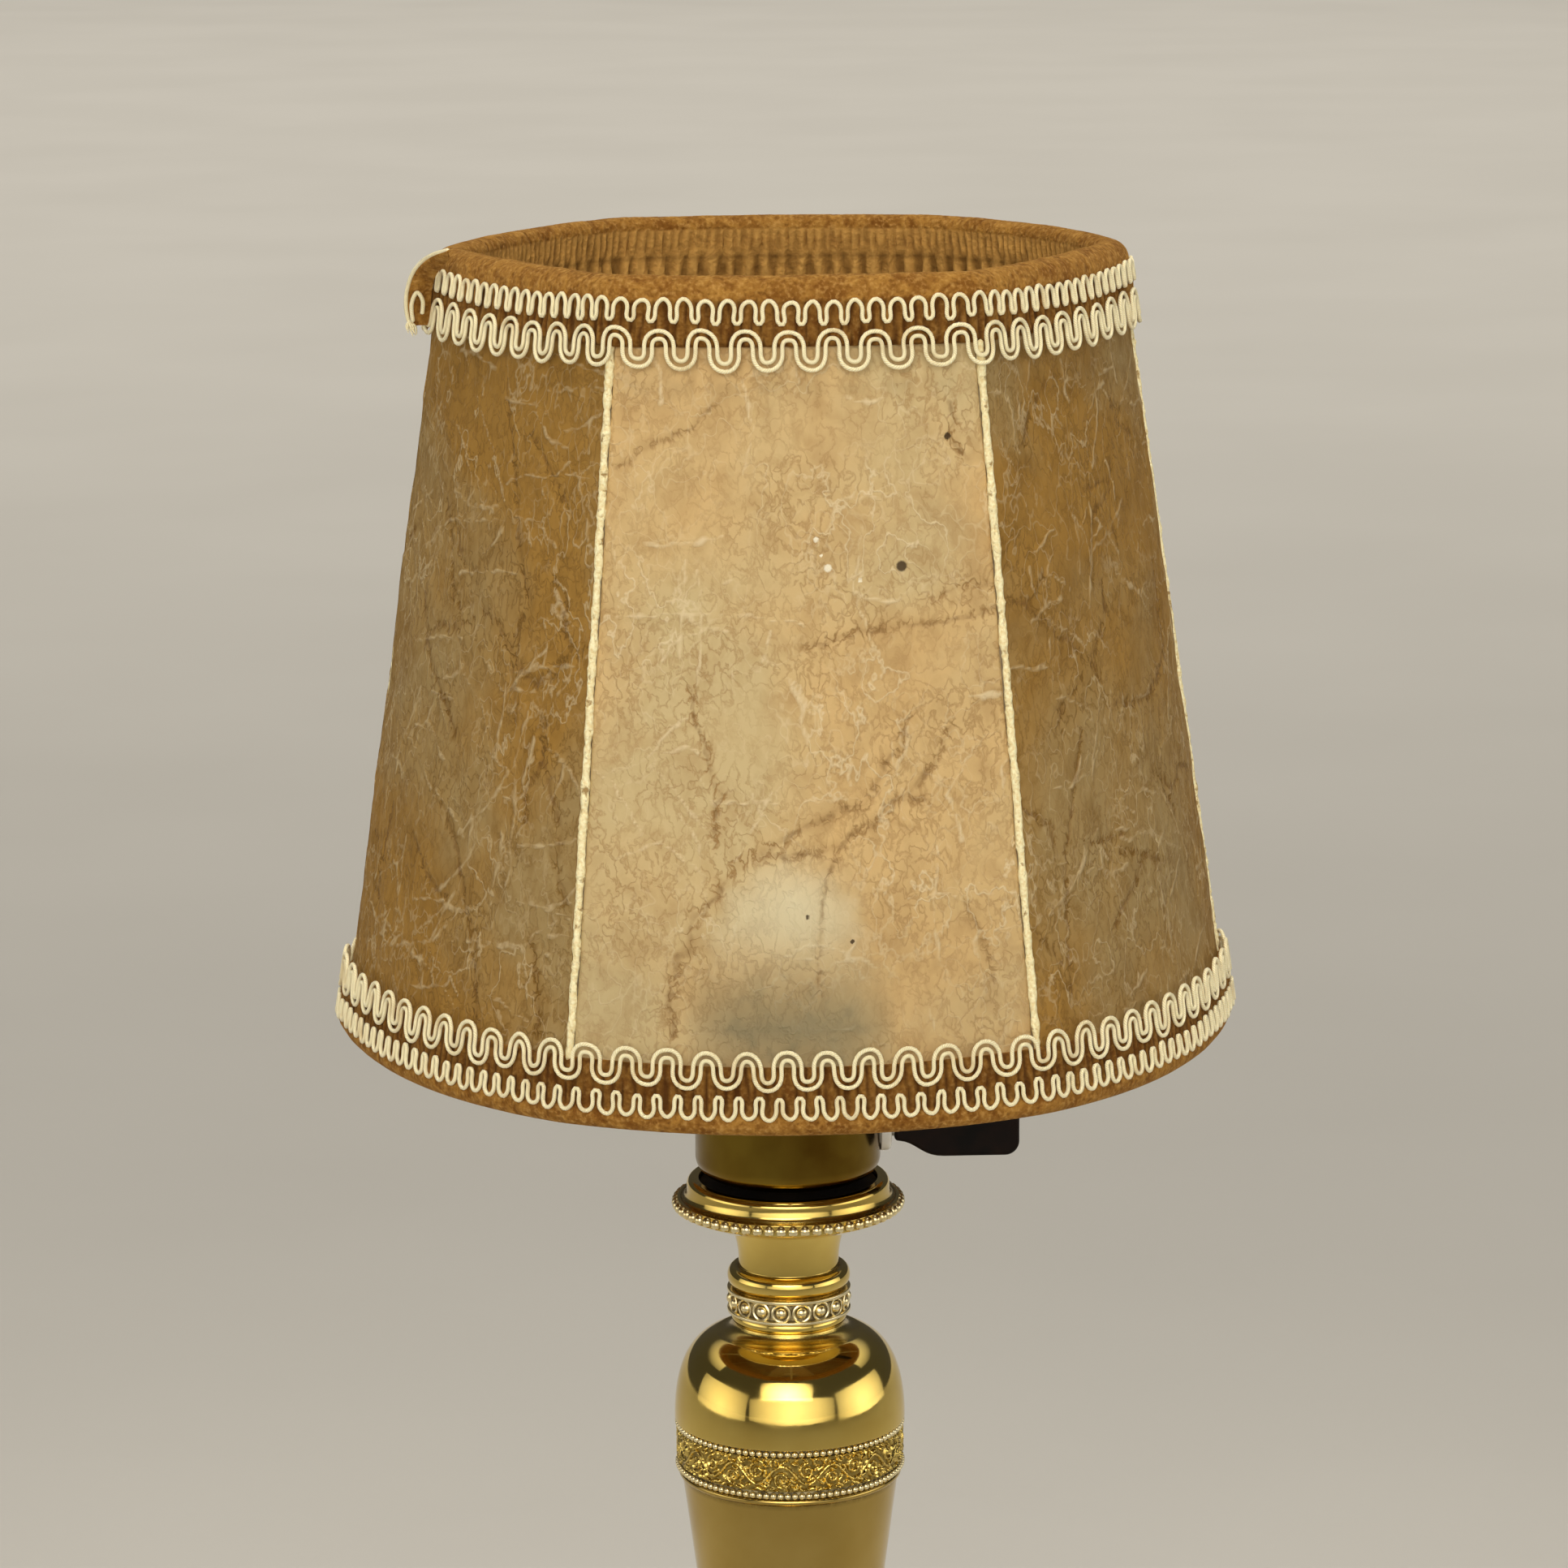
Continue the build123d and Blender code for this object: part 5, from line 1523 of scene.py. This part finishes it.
def braid_row(bm, waves, wave, middle, flip, offset, front_lobe):
    """Cord that meanders round the shade, never twice quite alike, with a lobe at a set place in front."""
    length = rim_length(middle, braid_face)
    pitch = length / waves
    start = 0.75 * length + front_lobe - 0.25 * pitch
    path = []
    for count in range(waves):
        for along, rise, turn in wave:
            travel = count + along
            angle = full_turn * travel / waves
            loose = Vector((math.cos(angle), math.sin(angle), 0)) * waves / 6
            drop = wave_drift * noise.noise(loose + Vector((0, 0, middle)))
            lean = wave_lean * noise.noise(loose * 1.7 + Vector((0, 0, middle + 5)))
            tall = 1.0 + wave_growth * noise.noise(loose * 1.3 + Vector((0, 0, middle + 9)))
            heading = turn * flip
            z = rise * flip * pitch * tall + offset * math.cos(heading)
            x = start + travel * pitch - offset * math.sin(heading) + lean * z
            share = x / length
            point = rim_point(share, middle + drop + z, braid_face + gimp_r, rim_sag)
            outward = (rim_point(share, middle + drop + z, braid_face + 4, rim_sag) - point).normalized()
            path.append((point, outward))
    path.append(path[0])
    cord(bm, path, lambda share: gimp_r)


def make_braid(name, node, large_middle, small_middle, flip, pitch, front_lobe):
    """Gimp braid: a doubled cord in broad waves beside a single cord in small ripples."""
    low, top = heights(node)
    bm = new_mesh()
    broad = serpentine(wave_swing, wave_hold, wave_steps, 0.0)
    tight = serpentine(ripple_swing, ripple_hold, ripple_steps, ripple_pinch)
    waves = round(rim_length((low + top) / 2, braid_face) / pitch)
    for offset in (-wave_gap / 2, wave_gap / 2):
        braid_row(bm, waves, broad, large_middle, flip, offset, front_lobe)
    braid_row(bm, 2 * waves, tight, small_middle, -flip, 0.0, front_lobe)
    if flip < 0:
        loose_cords(bm)
    merged(bm)
    finished(name, bm, "shade", [node], "cream_gimp", sharp=60)


bottom_low, bottom_top = heights("bottom_braid")
top_low, top_top = heights("top_braid")
large_half = 4.3
small_half = 3.0
bottom_rows = (bottom_top - large_half, bottom_low + small_half)
top_rows = (top_low + large_half, top_top - small_half)
make_braid("bottom_gimp", "bottom_braid", *bottom_rows, 1, bottom_pitch, bottom_lobe_at)
make_braid("top_gimp", "top_braid", *top_rows, -1, top_pitch, top_lobe_at)


# Stage, light and camera
def make_floor():
    bm = bmesh.new()
    bmesh.ops.create_grid(bm, x_segments=1, y_segments=1, size=14.0)
    mesh = bpy.data.meshes.new("floor")
    bm.to_mesh(mesh)
    bm.free()
    mesh.materials.append(
        plain_finish(
            "pale floor", (0.58, 0.56, 0.52, 1), (0.60, 0.58, 0.54, 1), 3.0, (0.75, 0.85), 0.0001,
            {"Specular IOR Level": 0.2},
        )
    )
    floor = bpy.data.objects.new("floor", mesh)
    bpy.context.scene.collection.objects.link(floor)


def make_light(name, place, aim, size, power, colour, spread_angle):
    """Softbox that faces a point of the lamp."""
    light = bpy.data.lights.new(name, "AREA")
    light.shape = "RECTANGLE"
    light.size, light.size_y = size
    light.energy = power
    light.color = colour
    light.spread = math.radians(spread_angle)
    lamp = bpy.data.objects.new(name, light)
    lamp.location = place
    lamp.rotation_euler = (Vector(aim) - Vector(place)).to_track_quat("-Z", "Y").to_euler()
    bpy.context.scene.collection.objects.link(lamp)


make_floor()
shade_middle = (0, 0, 0.34)
warm_white = (1.0, 0.95, 0.86)
make_light("front softbox", (-0.15, -1.5, 1.05), (0, 0, 0.40), (1.7, 0.8), 2.85, warm_white, 62)
make_light("low front softbox", (0.0, -1.7, 0.40), (0, 0, 0.20), (3.2, 0.75), 4.2, warm_white, 100)
for name, aside, power in (("left softbox", -1.55, 1.35), ("right softbox", 1.55, 1.55)):
    make_light(name, (aside, -0.35, 0.40), shade_middle, (1.9, 0.75), power, warm_white, 80)
make_light("overhead softbox", (0.0, -0.4, 1.7), (0, 0.04, 0.42), (0.5, 0.5), 0.45, warm_white, 34)
make_light("backdrop softbox", (0.0, 6.3, 3.2), (0, 6.3, 0), (10.0, 11.4), 330.0, warm_white, 125)
make_light("fore softbox", (0.0, -9.0, 3.2), (0, -9.0, 0), (16.0, 10.0), 260.0, warm_white, 90)

scene = bpy.context.scene
scene.world = bpy.data.worlds.new("studio")
scene.world.use_nodes = True
sky = scene.world.node_tree.nodes["Background"]
sky.inputs["Color"].default_value = (0.95, 0.93, 0.88, 1)
sky.inputs["Strength"].default_value = 0.07
scene.view_settings.view_transform = "Standard"

view = bpy.data.cameras.new("view")
view.lens = 118.67
view.sensor_width = 36.0
camera = bpy.data.objects.new("view", view)
camera.location = (-0.0459, -1.1147, 0.5335)
camera.rotation_euler = [math.radians(angle) for angle in (78.358, 0.4, -2.426)]
scene.collection.objects.link(camera)
scene.camera = camera
